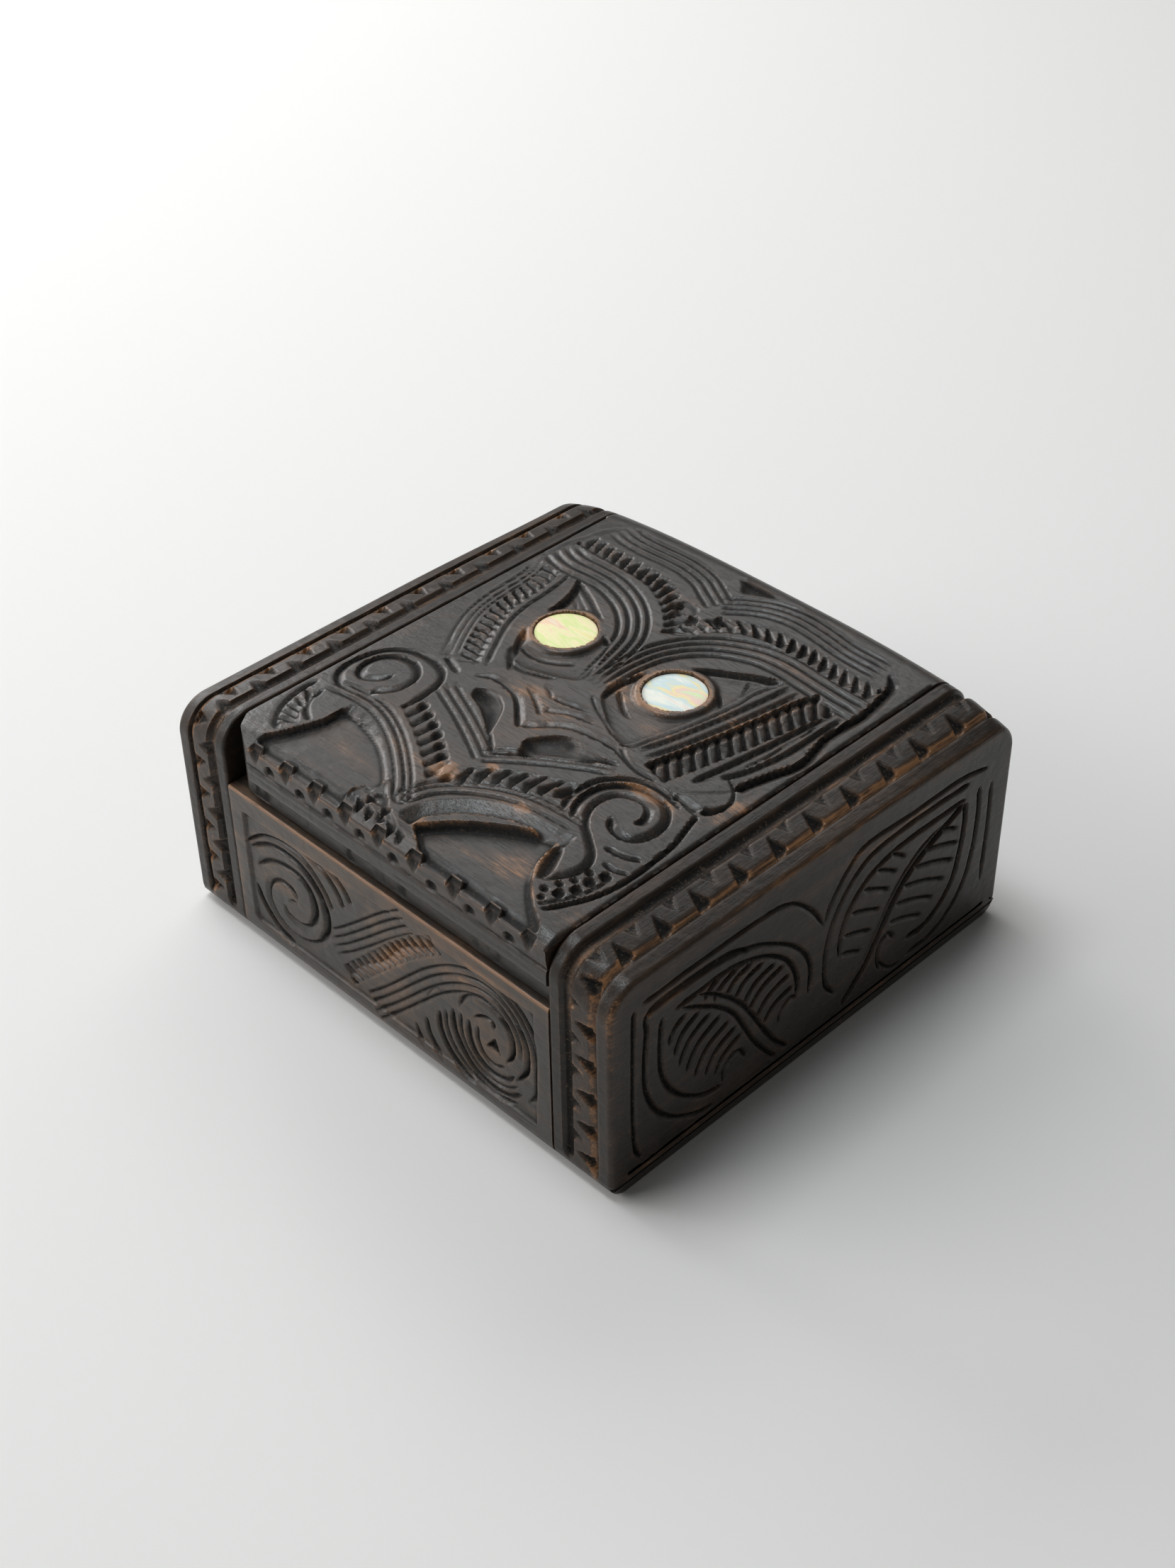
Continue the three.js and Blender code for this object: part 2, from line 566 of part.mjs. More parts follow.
// Main forms of the mask: eye sockets, nostrils, bands, spirals and edges
function maskForms() {
  const forms = [
    ...EYE_SOCKETS.map((edge) => intoTop(rounded(edge), SOCKET_DEPTH)),
    ...NOSTRILS.map((edge) => intoTop(rounded(edge), NOSTRIL_DEPTH)),
    ...BANDS.map(({ width, path }) => intoTop(strip(path, width), BAND_DEPTH)),
    ...SPIRALS.map(({ width, path }) => intoTop(strip(path, width), SPIRAL_DEPTH)),
    ...MASK_EDGES.map(({ width, path }) => intoTop(strip(path, width), MASK_EDGE_DEPTH)),
  ];
  const rings = Object.values(EYE_PLACES).map((place) => (
    bar('z', EYE_RING_RADIUS, 0, 2 * BOX_HEIGHT, place, EYE_SIDES)));
  return joined(forms).subtract(joined(rings));
}

// Lid: its top follows the crown, except for the front arris, which is straight
function lid() {
  const blank = alongX(lidSection(), -LID_HALF_WIDTH, LID_HALF_WIDTH, CROWN_STEPS);
  const crowned = raise(blank, (x, y, z) => {
    const share = Math.max(0, z - HINGE_Z) / (SEAM_HEIGHT - HINGE_Z);
    return y > -HALF_DEPTH + RECESS_DEPTH ? z + share * (crownHeight(x) - SEAM_HEIGHT) : z;
  });
  const corner = alongZ(outline([
    [-LID_HALF_WIDTH - OVERCUT, -HALF_DEPTH - OVERCUT],
    [-LID_HALF_WIDTH + CORNER_CUT_X, -HALF_DEPTH - OVERCUT],
    [-LID_HALF_WIDTH + CORNER_CUT_X, -HALF_DEPTH],
    [-LID_HALF_WIDTH, -HALF_DEPTH + CORNER_CUT_Y],
    [-LID_HALF_WIDTH - OVERCUT, -HALF_DEPTH + CORNER_CUT_Y],
  ]), 0, 2 * BOX_HEIGHT);
  const sockets = Object.values(EYE_PLACES).map((place) => (
    bar('z', EYE_RADIUS + HOLE_GAP, EYE_BOTTOM - HOLE_GAP, BOX_HEIGHT + OVERCUT, place, EYE_SIDES)));
  return solidOf(crowned)
    .subtract(solidOf(corner))
    .subtract(lipCuts())
    .subtract(mouthHollow(MOUTH_LEFT))
    .subtract(mouthHollow(MOUTH_RIGHT))
    .subtract(maskForms())
    .subtract(joined(sockets))
    .subtract(PIN_HOLES);
}

// Nail with a flat head, driven up through the base board
function nail(place) {
  const headTop = NAIL_SINK + NAIL_HEAD_THICKNESS;
  const head = bar('z', NAIL_HEAD_RADIUS, NAIL_SINK, headTop, place);
  const shank = bar('z', NAIL_RADIUS, headTop - OVERCUT / 2, NAIL_SINK + NAIL_LENGTH, place, NAIL_SIDES);
  return joined([head, shank]);
}

// Dowel between a cheek and a long board
function dowel(side, y, z) {
  const ends = [side * (BOARD_HALF_LENGTH - DOWEL_IN_BOARD), side * (CHEEK_INSIDE + DOWEL_IN_CHEEK)];
  return solidOf(bar('x', DOWEL_RADIUS, Math.min(...ends), Math.max(...ends), [y, z]));
}

// Hinge pin, fixed in a cheek and free in the lid
function pin(side) {
  const ends = [side * (LID_HALF_WIDTH - PIN_IN_LID), side * (CHEEK_INSIDE + PIN_IN_CHEEK)];
  return solidOf(bar('x', PIN_RADIUS, Math.min(...ends), Math.max(...ends), [HINGE_Y, HINGE_Z]));
}

// Round shell disc
function eye(place) {
  return solidOf(bar('z', EYE_RADIUS, EYE_BOTTOM, EYE_TOP, place, EYE_SIDES));
}

// Materials
const STAINED_WOOD = new THREE.MeshStandardMaterial({ color: 0x2b2622, roughness: 0.5, metalness: 0 });
const PALE_WOOD = new THREE.MeshStandardMaterial({ color: 0xb58f5e, roughness: 0.7, metalness: 0 });
const SHELL = new THREE.MeshStandardMaterial({ color: 0xe6e2b8, roughness: 0.2, metalness: 0 });
const STEEL = new THREE.MeshStandardMaterial({ color: 0x8a8a88, roughness: 0.35, metalness: 1 });

const box = new THREE.Group();

// Adds a named piece to the box
function addPiece(name, solid, material) {
  const mesh = new THREE.Mesh(geometryOf(solid), material);
  mesh.name = name;
  box.add(mesh);
}

addPiece('base_board', baseBoard(), STAINED_WOOD);
addPiece('front_board', longBoard(-1, FRONT_THICKNESS, FRONT_TOP), STAINED_WOOD);
addPiece('back_board', longBoard(1, BACK_THICKNESS, BACK_TOP), STAINED_WOOD);
addPiece('lid', lid(), STAINED_WOOD);
for (const [name, side] of Object.entries(SIDES)) {
  addPiece(`${name}_cheek`, cheek(side), STAINED_WOOD);
  addPiece(`${name}_hinge_pin`, pin(side), STEEL);
  addPiece(`${name}_eye`, eye(EYE_PLACES[name]), SHELL);
}
for (const [sideName, side] of Object.entries(SIDES)) {
  for (const [boardName, y] of Object.entries(BOARD_MIDDLES)) {
    for (const [level, z] of Object.entries(DOWEL_HEIGHTS)) {
      addPiece(`${boardName}_${sideName}_${level}_dowel`, dowel(side, y, z), PALE_WOOD);
    }
  }
}
for (const [name, spot] of Object.entries(NAIL_PLACES)) {
  addPiece(`${name}_base_nail`, nail(spot), STEEL);
}

export default box;
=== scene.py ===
"""Carved wooden box with a mask on its lid, two shell eyes and a lid that turns on hidden pins."""

import logging
import math
from abc import ABC, abstractmethod
from dataclasses import dataclass, field
from enum import Enum

import bmesh
import bpy
import numpy as np
from mathutils import Matrix, Vector


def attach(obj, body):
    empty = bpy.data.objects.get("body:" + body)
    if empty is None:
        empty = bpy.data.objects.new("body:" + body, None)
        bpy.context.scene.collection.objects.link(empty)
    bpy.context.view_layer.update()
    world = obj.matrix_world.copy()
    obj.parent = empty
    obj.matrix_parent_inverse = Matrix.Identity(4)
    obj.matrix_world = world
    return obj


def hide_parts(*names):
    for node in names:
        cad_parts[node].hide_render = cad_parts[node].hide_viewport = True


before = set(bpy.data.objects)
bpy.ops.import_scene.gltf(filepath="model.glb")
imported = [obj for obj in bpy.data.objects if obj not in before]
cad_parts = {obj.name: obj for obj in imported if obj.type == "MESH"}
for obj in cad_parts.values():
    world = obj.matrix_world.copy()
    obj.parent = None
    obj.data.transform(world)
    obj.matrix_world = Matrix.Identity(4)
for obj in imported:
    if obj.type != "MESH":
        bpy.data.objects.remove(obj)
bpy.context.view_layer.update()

Point = tuple[float, float]
Place = tuple[float, float, float]
Colour = tuple[float, float, float]
Array = np.ndarray

MM = 0.001
TINY = 1e-6
CELL = 0.45  # usual size of a cell of a carved face
log = logging.getLogger("carved_box")


class Grain(Enum):
    """Direction of a board's grain, as the axis along which its fibres run."""

    ACROSS = 0
    FRONT_TO_BACK = 1


# Curves on a face


def smooth_line(points: tuple[Point, ...], closed: bool = False, steps: int = 6) -> Array:
    """Smooth line through a few points.

    Args:
        points: Places that the line runs through, in millimetres.
        closed: Whether the line returns to its first point.
        steps: Short segments between two points.

    Returns:
        The line's corners, one row each.
    """
    knots = np.array(points, float)
    if closed:
        padded = np.vstack([knots[-1], knots, knots[0], knots[1]])
    else:
        padded = np.vstack([2 * knots[0] - knots[1], knots, 2 * knots[-1] - knots[-2]])
    share = np.linspace(0, 1, steps, endpoint=False)[:, None]
    pieces = []
    for span in range(len(padded) - 3):
        a, b, c, d = padded[span:span + 4]
        pieces.append(0.5 * (2 * b + (c - a) * share + (2 * a - 5 * b + 4 * c - d) * share ** 2
                             + (3 * b - a - 3 * c + d) * share ** 3))
    pieces.append(padded[-2][None, :])
    return np.vstack(pieces)


def measure(line: Array, u: Array, v: Array) -> tuple[Array, Array, float]:
    """Where points lie beside a line.

    Args:
        line: Corners of the line.
        u: First coordinate of the points.
        v: Second coordinate of the points.

    Returns:
        Signed distance (positive on the line's left), place along the line, and the line's length.
    """
    nearest = np.full(u.shape, np.inf)
    side = np.zeros(u.shape)
    along = np.zeros(u.shape)
    passed = 0.0
    for start, end in zip(line[:-1], line[1:]):
        step = end - start
        length = float(np.hypot(*step))
        if length == 0:
            continue
        share = np.clip(((u - start[0]) * step[0] + (v - start[1]) * step[1]) / length ** 2, 0, 1)
        du = u - start[0] - share * step[0]
        dv = v - start[1] - share * step[1]
        distance = du ** 2 + dv ** 2
        closer = distance < nearest
        nearest = np.where(closer, distance, nearest)
        side = np.where(closer, np.sign(step[0] * dv - step[1] * du), side)
        along = np.where(closer, passed + share * length, along)
        passed += length
    return np.where(side == 0, 1, side) * np.sqrt(nearest), along, passed


def inside(line: Array, u: Array, v: Array) -> Array:
    """Whether points lie inside a closed line."""
    result = np.zeros(u.shape, bool)
    for start, end in zip(line[:-1], line[1:]):
        if start[1] == end[1]:
            continue
        crosses = (start[1] > v) != (end[1] > v)
        edge = start[0] + (v - start[1]) * (end[0] - start[0]) / (end[1] - start[1])
        result ^= crosses & (u < edge)
    return result


def smoothstep(value: Array) -> Array:
    """Soft step from 0 at 0 to 1 at 1."""
    share = np.clip(value, 0, 1)
    return share * share * (3 - 2 * share)


def run_out(along: Array, length: float, taper: Point) -> Array:
    """Strength of a line, which falls from 1 to 0 towards a tapered end.

    Args:
        along: Places along the line.
        length: Length of the line.
        taper: Lengths of the tapers at its start and at its end, or 0 for a blunt end.

    Returns:
        The strength at each place.
    """
    strength = np.ones(along.shape)
    for distance, reach in zip((along, length - along), taper):
        if reach > 0:
            strength = np.minimum(strength, distance / reach)
    return np.clip(strength, 0, 1)


# Marks of the carver's tools


class Mark(ABC):
    """Something cut into a face. A mark of the ground lies under the others, and their depths are added."""

    ground: bool = False

    @abstractmethod
    def reach(self) -> float:
        """How far from its line the mark cuts, in millimetres."""

    @abstractmethod
    def outline(self) -> Array:
        """The line that the mark follows."""

    @abstractmethod
    def depth_at(self, u: Array, v: Array) -> Array:
        """Depth of the mark at some points of the face."""

    def near(self, u: Array, v: Array) -> Array:
        """Which points the mark can touch."""
        line = self.outline()
        low = line.min(0) - self.reach()
        high = line.max(0) + self.reach()
        return (u > low[0]) & (u < high[0]) & (v > low[1]) & (v < high[1])


class LineMark(Mark):
    """Something cut along a smooth open line."""

    points: tuple[Point, ...]

    def outline(self) -> Array:
        """Return the smooth line through the points."""
        return smooth_line(self.points)


@dataclass(frozen=True)
class Cut(LineMark):
    """A gouged line, whose left and right walls may slope differently."""

    points: tuple[Point, ...]
    depth: float = 0.9
    left: float = 0.8
    right: float = 0.8
    taper: Point = (3.0, 3.0)
    hollow: bool = False
    slit: float = 0.75
    slit_share: float = 0.32
    least_strength: float = 0.05

    def reach(self) -> float:
        """Return how far the walls spread."""
        return max(self.left, self.right)

    def depth_at(self, u: Array, v: Array) -> Array:
        """Return a round hollow, or a V with a slit at its bottom, that narrows and rises towards tapered ends."""
        side, along, length = measure(self.outline(), u, v)
        strength = np.sqrt(run_out(along, length, self.taper))
        wall = np.where(side > 0, self.left, self.right) * np.maximum(strength, self.least_strength)
        share = np.clip(1 - np.abs(side) / wall, 0, 1)
        if self.hollow:
            share = np.sqrt(share * (2 - share))
        else:
            slit = np.clip(1 - np.abs(side) / np.minimum(wall, self.slit), 0, 1)
            share = (1 - self.slit_share) * share + self.slit_share * slit
        return self.depth * strength * share


@dataclass(frozen=True)
class Ribs(LineMark):
    """Round ribs side by side along a line, with a sharp groove at each offset."""

    points: tuple[Point, ...]
    offsets: tuple[float, ...] = (-1.1, 1.1)
    pitch: float = 2.2
    depth: float = 0.8
    taper: Point = (4.0, 4.0)
    squeeze: float = 1.0
    sharp_share: float = 0.65
    round_share: float = 0.4

    def reach(self) -> float:
        """Return how far the outermost groove spreads."""
        return max(abs(offset) for offset in self.offsets) + self.pitch / 2

    def depth_at(self, u: Array, v: Array) -> Array:
        """Return sharp grooves with round shoulders, squeezed together towards the line's end."""
        side, along, length = measure(self.outline(), u, v)
        strength = run_out(along, length, self.taper) ** 0.6
        side = side / (1 + (self.squeeze - 1) * (along / length) ** 2)
        result = np.zeros(u.shape)
        for offset in self.offsets:
            share = np.clip(np.abs(side - offset) / (self.pitch / 2), 0, 1)
            groove = self.sharp_share * (1 - share) ** 2.0 + self.round_share * (1 - np.sqrt(share * (2 - share)))
            result = np.maximum(result, groove)
        return self.depth * strength * result


class Tooth(Enum):
    """Shape of the notches in a band."""

    CHIP = "chip"
    GEM = "gem"
    SCALE = "scale"


@dataclass(frozen=True)
class Notches(LineMark):
    """A band of notches across a line."""

    points: tuple[Point, ...]
    half: float = 3.0
    pitch: float = 3.0
    depth: float = 1.4
    lean: float = 0.5
    tooth: Tooth = Tooth.CHIP
    sink: float = 0.3
    unevenness: float = 0.25
    pit: float = -0.5

    def reach(self) -> float:
        """Return the half width of the band."""
        return self.half

    def depth_at(self, u: Array, v: Array) -> Array:
        """Return leaning notches of the band's shape, which fade at its ends and sides."""
        side, along, length = measure(self.outline(), u, v)
        across = side / self.half
        place = (along + self.lean * side) / self.pitch
        number = np.floor(place)
        shape = {Tooth.CHIP: self.chip, Tooth.GEM: self.gem, Tooth.SCALE: self.scale}[self.tooth]
        cut = shape(across, place - number, number)
        ends = smoothstep(along / 0.8) * smoothstep((length - along) / 0.8)
        edge = smoothstep((1 - np.abs(across)) / 0.12)
        return edge * ends * (self.sink + (self.depth - self.sink) * np.clip(cut, 0, 1.2))

    def wobble(self, number: Array) -> Array:
        """Return by how much each notch, counted along the band, is deeper than the usual one."""
        return self.unevenness * np.sin(number * 12.9898 + 4.1)

    def sway(self, number: Array) -> Array:
        """Return how far the middle of each notch strays to the side."""
        return np.sin(number * 7.13)

    def chip(self, across: Array, phase: Array, number: Array) -> Array:
        """Return wedges that widen along the band, above a slope in each pitch."""
        run = (phase - 0.2 - 0.5 * np.abs(across - 0.25 * self.sway(number))) / 0.72
        return 0.18 * phase + np.clip(run * 1.25, 0, 1) * (1 + self.wobble(number))

    def gem(self, across: Array, phase: Array, _number: Array) -> Array:
        """Return cuts between cut beads, whose ridge falls steeply to the right and gently to the left."""
        gap = np.abs(2 * phase - 1) + 0.35 * np.clip((np.abs(across) - 0.45) / 0.55, 0, 1)
        flank = np.clip((1 - gap) / 0.36, 0, 1)
        ridge = -0.25
        roof = np.where(across < ridge, 1 - 0.9 * (ridge - across), 1 - 0.42 * (across - ridge))
        return 1 - flank * roof

    def scale(self, across: Array, phase: Array, number: Array) -> Array:
        """Return low scales with a pit beside each."""
        swell = 0.45 * (2 * phase - 0.8) ** 2 + 0.25 * phase
        reach = (across - self.pit - 0.1 * self.sway(number)) / 0.42
        pit = np.clip(1.5 - 1.5 * np.hypot(reach, (phase - 0.72) / 0.34), 0, 1)
        return (swell + 0.95 * pit) * (1 + 0.6 * self.wobble(number))


@dataclass(frozen=True)
class Hollow(Mark):
    """A sunk place inside a closed line, with sloping or upright sides."""

    points: tuple[Point, ...]
    depth: float = 1.5
    shoulder: float = 1.2
    bowl: bool = False
    ground: bool = True
    smooth: bool = True

    def reach(self) -> float:
        """Return a small margin round the closed line."""
        return 0.5

    def outline(self) -> Array:
        """Return the closed line."""
        if self.smooth:
            return smooth_line(self.points, closed=True)
        return np.array(self.points + self.points[:1], float)

    def depth_at(self, u: Array, v: Array) -> Array:
        """Return the depth, which grows inwards from the line."""
        line = self.outline()
        side, _, _ = measure(line, u, v)
        share = np.clip(np.abs(side) / self.shoulder, 0, 1)
        slope = np.sqrt(share * (2 - share)) if self.bowl else smoothstep(share)
        return np.where(inside(line, u, v), self.depth * slope, 0)


@dataclass(frozen=True)
class Slope(LineMark):
    """A slanting facet on the right of a line, deepest where it ends."""

    points: tuple[Point, ...]
    width: float = 5.0
    depth: float = 1.6
    run_in: float = 1.5
    ground: bool = True

    def reach(self) -> float:
        """Return the width of the facet."""
        return self.width

    def depth_at(self, u: Array, v: Array) -> Array:
        """Return a slant that drops away from the line."""
        side, along, length = measure(self.outline(), u, v)
        ends = smoothstep(along / self.run_in) * smoothstep((length - along) / self.run_in)
        fall = np.clip(-side / self.width, 0, 1)
        return np.where((side < 0) & (side > -self.width), self.depth * fall * ends, 0)


@dataclass(frozen=True)
class Chip(Mark):
    """A three-sided chip: its floor slopes from the tip down to the far side, and its walls are steep."""

    tip: Point
    first: Point
    second: Point
    depth: float = 1.4
    wall: float = 0.35
    level: float = 0.0
    steepness: float = 1.15

    def reach(self) -> float:
        """Return a small margin round the chip."""
        return 0.2

    def outline(self) -> Array:
        """Return the three sides."""
        return np.array((self.tip, self.first, self.second, self.tip), float)

    def depth_at(self, u: Array, v: Array) -> Array:
        """Return the sloping floor inside the three sides."""
        line = self.outline()
        tip = line[0]
        run = (line[1] + line[2]) / 2 - tip
        share = ((u - tip[0]) * run[0] + (v - tip[1]) * run[1]) / float(run @ run)
        side, _, _ = measure(line, u, v)
        slope = self.level + (1 - self.level) * np.clip(share * self.steepness, 0, 1)
        return np.where(inside(line, u, v), self.depth * slope * smoothstep(np.abs(side) / self.wall), 0)


@dataclass(frozen=True)
class Pit(Mark):
    """A round hollow made with the tip of a gouge, which may have a flat lower side."""

    centre: Point
    radius: float = 1.7
    depth: float = 1.5
    flat: bool = False

    def reach(self) -> float:
        """Return the radius of the hollow."""
        return self.radius

    def outline(self) -> Array:
        """Return the centre."""
        return np.array((self.centre,), float)

    def depth_at(self, u: Array, v: Array) -> Array:
        """Return a bowl that is deepest on its left."""
        across = (u - self.centre[0]) / self.radius
        distance = np.hypot(across, (v - self.centre[1]) / self.radius)
        bowl = np.sqrt(np.clip(1 - distance ** 2, 0, 1))
        result = self.depth * bowl ** 0.5 * np.clip(0.85 - 0.65 * across, 0, 1.4)
        if self.flat:
            result = result * smoothstep((v - self.centre[1] + 0.65 * self.radius) / 0.4)
        return result


@dataclass(frozen=True)
class Worn:
    """A soft oval patch where the stain is rubbed through."""

    centre: Point
    size: Point
    strength: float = 1.0
    turn: float = 0.0

    def at(self, u: Array, v: Array) -> Array:
        """Return how strongly the patch is worn at some points."""
        angle = math.radians(self.turn)
        du, dv = u - self.centre[0], v - self.centre[1]
        a = (du * math.cos(angle) + dv * math.sin(angle)) / self.size[0]
        b = (dv * math.cos(angle) - du * math.sin(angle)) / self.size[1]
        return self.strength * np.exp(-(a * a + b * b))


@dataclass(frozen=True)
class Carving:
    """All that is cut into one face, and where it is worn.

    A boss (centre and radius) is left uncut, and a pocket (centre, radius and depth) has a flat floor.
    """

    marks: tuple[Mark, ...] = ()
    worn: tuple[Worn, ...] = ()
    bosses: tuple[tuple[Point, float], ...] = ()
    pockets: tuple[tuple[Point, float, float], ...] = ()
    boss_foot: float = 1.6

    def depth(self, u: Array, v: Array, cell: float = CELL) -> Array:
        """Depth of the carving, in millimetres, averaged over the cell of each point.

        Args:
            u: First coordinate of points on the face.
            v: Second coordinate of the points.
            cell: Size of a cell.

        Returns:
            Depth below the uncut face.
        """
        shift = cell / 4
        total = sum(self.cut(u + shift * i, v + shift * j) for i, j in ((-1, -1), (1, -1), (-1, 1), (1, 1))) / 4
        for centre, radius in self.bosses:
            total *= smoothstep((np.hypot(u - centre[0], v - centre[1]) - radius) / self.boss_foot)
        for centre, radius, depth in self.pockets:
            total = np.where(np.hypot(u - centre[0], v - centre[1]) < radius, depth, total)
        return total

    def cut(self, u: Array, v: Array) -> Array:
        """Depth of all marks at some points of the face."""
        ground = np.zeros(u.shape)
        lines = np.zeros(u.shape)
        for mark in self.marks:
            near = mark.near(u, v)
            if near.any():
                target = ground if mark.ground else lines
                target[near] = np.maximum(target[near], mark.depth_at(u[near], v[near]))
        return ground + lines

    def wear(self, u: Array, v: Array) -> Array:
        """Wear of the face between 0 and 1."""
        return np.clip(sum((patch.at(u, v) for patch in self.worn), np.zeros(u.shape)), 0, 1)


# Uneven hand work


def unevenness(rows: int, columns: int, cell: int, seed: int) -> Array:
    """Soft random field between about -1 and 1.

    Args:
        rows: Number of rows.
        columns: Number of columns.
        cell: Distance between random values, in rows or columns.
        seed: Number that fixes the field.

    Returns:
        The field.
    """
    source = np.random.default_rng(seed)
    coarse = source.uniform(-1, 1, (rows // cell + 3, columns // cell + 3))
    row = np.arange(rows)[:, None] / cell
    column = np.arange(columns)[None, :] / cell
    i, j = np.floor(row).astype(int), np.floor(column).astype(int)
    a, b = smoothstep(row - i), smoothstep(column - j)
    top = coarse[i, j] * (1 - b) + coarse[i, j + 1] * b
    bottom = coarse[i + 1, j] * (1 - b) + coarse[i + 1, j + 1] * b
    return top * (1 - a) + bottom * a


def blurred(values: Array, radius: int) -> Array:
    """Field softened over a number of cells in both directions."""
    offsets = np.arange(-2 * radius, 2 * radius + 1)
    weights = np.exp(-0.5 * (offsets / radius) ** 2)
    weights /= weights.sum()
    result = values
    for axis in (0, 1):
        pad = [(0, 0), (0, 0)]
        pad[axis] = (2 * radius, 2 * radius)
        padded = np.pad(result, pad, mode="edge")
        size = result.shape[axis]
        result = sum(weight * np.take(padded, np.arange(k, k + size), axis)
                     for k, weight in enumerate(weights))
    return result


EYE_LEFT = (-22.9, 13.4)
EYE_RIGHT = (14.7, 13.4)
SOCKET_RADIUS = 8.2
EYE_RIM = 9.4

# Mask on the lid. Coordinates are millimetres across the box and back from its middle.

FOREHEAD_LEFT = ((-47, 58.6), (-41, 56.6), (-34, 55.9), (-27, 56), (-20, 55.7), (-13, 54), (-8, 51.4), (-2.2, 48.3))
FOREHEAD_RIGHT = ((-2.2, 48.3), (3, 52.6), (8, 55.5), (14, 57), (20, 57.1), (27, 56.4), (34, 55.6), (45, 56))
BAND_LEFT = ((-51.5, 48.4), (-42, 47), (-32, 46.2), (-22, 45), (-15, 42), (-9, 38.2), (-4, 33.5), (-2, 30))
BAND_RIGHT = ((49.5, 47.4), (40, 47), (30, 47.2), (20, 47.4), (12, 46), (6, 43), (1, 38), (-1.6, 33))
BROW_LEFT = (
    (-53.2, 41), (-49, 38.7), (-44, 37.4), (-38, 37.2), (-31, 36.7), (-24, 34.6), (-18, 31.5),
    (-13, 27.3), (-9, 21.8), (-6.8, 15), (-5.2, 8), (-3.8, 1.5),
)
BROW_RIGHT = (
    (51.2, 40.3), (43, 39.8), (35, 39.9), (27, 40.2), (20, 39.3), (13.5, 36.6), (8, 32.8), (3.5, 27.5),
    (0.6, 21.5), (-0.7, 14.5), (-0.9, 8), (-0.6, 1.5),
)
LID_UPPER_LEFT = ((-37.4, 31.8), (-33, 30), (-28.6, 27.9), (-24, 25.2), (-19, 22.3), (-14.3, 18.2), (-10.6, 16.6))
LID_UPPER_RIGHT = (
    (30, 34.2), (25, 31.9), (20, 28.8), (15, 25.7), (11.2, 22.3), (7.8, 19), (5.4, 15), (3.7, 11),
    (2.7, 7), (2.8, 3), (4, -1),
)
LID_OUTER_LEFT = (
    (-37.6, 33.5), (-34.9, 28.5), (-33, 23.5), (-32.4, 18), (-32, 13), (-31, 8.5), (-29.3, 4),
    (-26.8, 0), (-23.5, -4.8), (-20.5, -8.6),
)
LID_OUTER_RIGHT = (
    (31.2, 34.6), (29.9, 31), (28.9, 26), (28.7, 21), (28.2, 16), (27.5, 11.5), (26.4, 6),
    (25, 0), (23.6, -5), (22.6, -8.8), (20, -11.3),
)
SIDE_LEFT = (
    (-43.5, 34.5), (-41.7, 28), (-40.7, 21), (-40, 14), (-38.2, 7), (-35.3, 1), (-32, -4.6), (-27.4, -12),
)
SIDE_RIGHT = (
    (35, 34.5), (34.2, 28), (33, 20), (31.8, 13), (30.6, 7), (29.4, 1), (28, -4.5), (26.2, -10),
)
BEADS_LEFT = (
    (-47.5, 33), (-44.8, 26), (-43.6, 20), (-43.2, 15), (-42.2, 9.5), (-39.8, 3.5), (-37, -2),
    (-33.6, -7.6), (-30.4, -13),
)
BEADS_RIGHT = (
    (43.4, 36.4), (41.4, 30), (40.4, 24), (39.4, 18), (38.4, 12), (37.2, 6), (36, 0.5), (34.8, -5),
    (33.8, -9), (33, -13.2),
)
EDGE_LEFT = (
    (-52.6, 33), (-50.6, 26), (-49.8, 19), (-49.2, 12), (-47.6, 5), (-45, -1), (-41.6, -7), (-36.6, -14.6),
)
MASK_EDGE_RIGHT = (
    (46.6, 55.6), (49.2, 52.6), (50.2, 48), (51, 43), (51.4, 39), (51.1, 33.5), (50.9, 27.3), (52, 21.5),
    (53, 17.2), (52.9, 13), (51.9, 9), (50.7, 4.6), (49.7, 0), (49.3, -3.4),
)
PAD_EDGE = ((44.7, -0.8), (46.9, -2), (49.3, -3.5), (51.2, -5.7), (52, -8), (51.5, -10.7), (50.7, -12.1),
    (49.2, -13.1))
CHIN_EDGE_RIGHT = (
    (49.7, -16.2), (50.4, -19.4), (51.5, -23), (52.6, -27), (53.2, -33), (53.6, -40), (53.3, -47), (52, -53),
    (50, -58), (47.4, -63.4),
)
MASK_EDGE_LEFT = (
    (-47, 59.5), (-50.6, 54), (-51.8, 49), (-53.6, 45), (-54, 39), (-53.2, 34), (-52, 29), (-51.6, 22),
    (-51, 14), (-49.6, 7), (-47.6, 1), (-44.2, -5.4), (-39.5, -11), (-36.4, -15),
)
SPIRAL_RIM_LEFT = (
    (-27.6, -36), (-27.4, -30), (-28.6, -24), (-31.6, -20), (-35.4, -18.4), (-40, -17.8), (-45, -18.3),
    (-49.4, -20.6), (-52, -24), (-53.4, -29), (-53.2, -34), (-51.4, -37.6), (-47.6, -40), (-43, -40.2),
)
SPIRAL_ARM_LEFT = (
    (-40.2, -28.8), (-40.2, -31), (-42, -33.4), (-45.4, -34.8), (-48.6, -33.2), (-50.2, -29.4),
    (-49.2, -25), (-46, -22.2), (-41.6, -21.4), (-37.6, -22.8), (-34.8, -25.6), (-33.7, -29.6),
    (-34.8, -33.6), (-38.6, -38),
)
SPIRAL_RIM_RIGHT = (
    (28, -38), (25.6, -34), (24.8, -29.5), (25.6, -24.4), (28, -20.4), (31.6, -17.6), (36, -16.3),
    (41, -16.2), (46, -17.4),
)
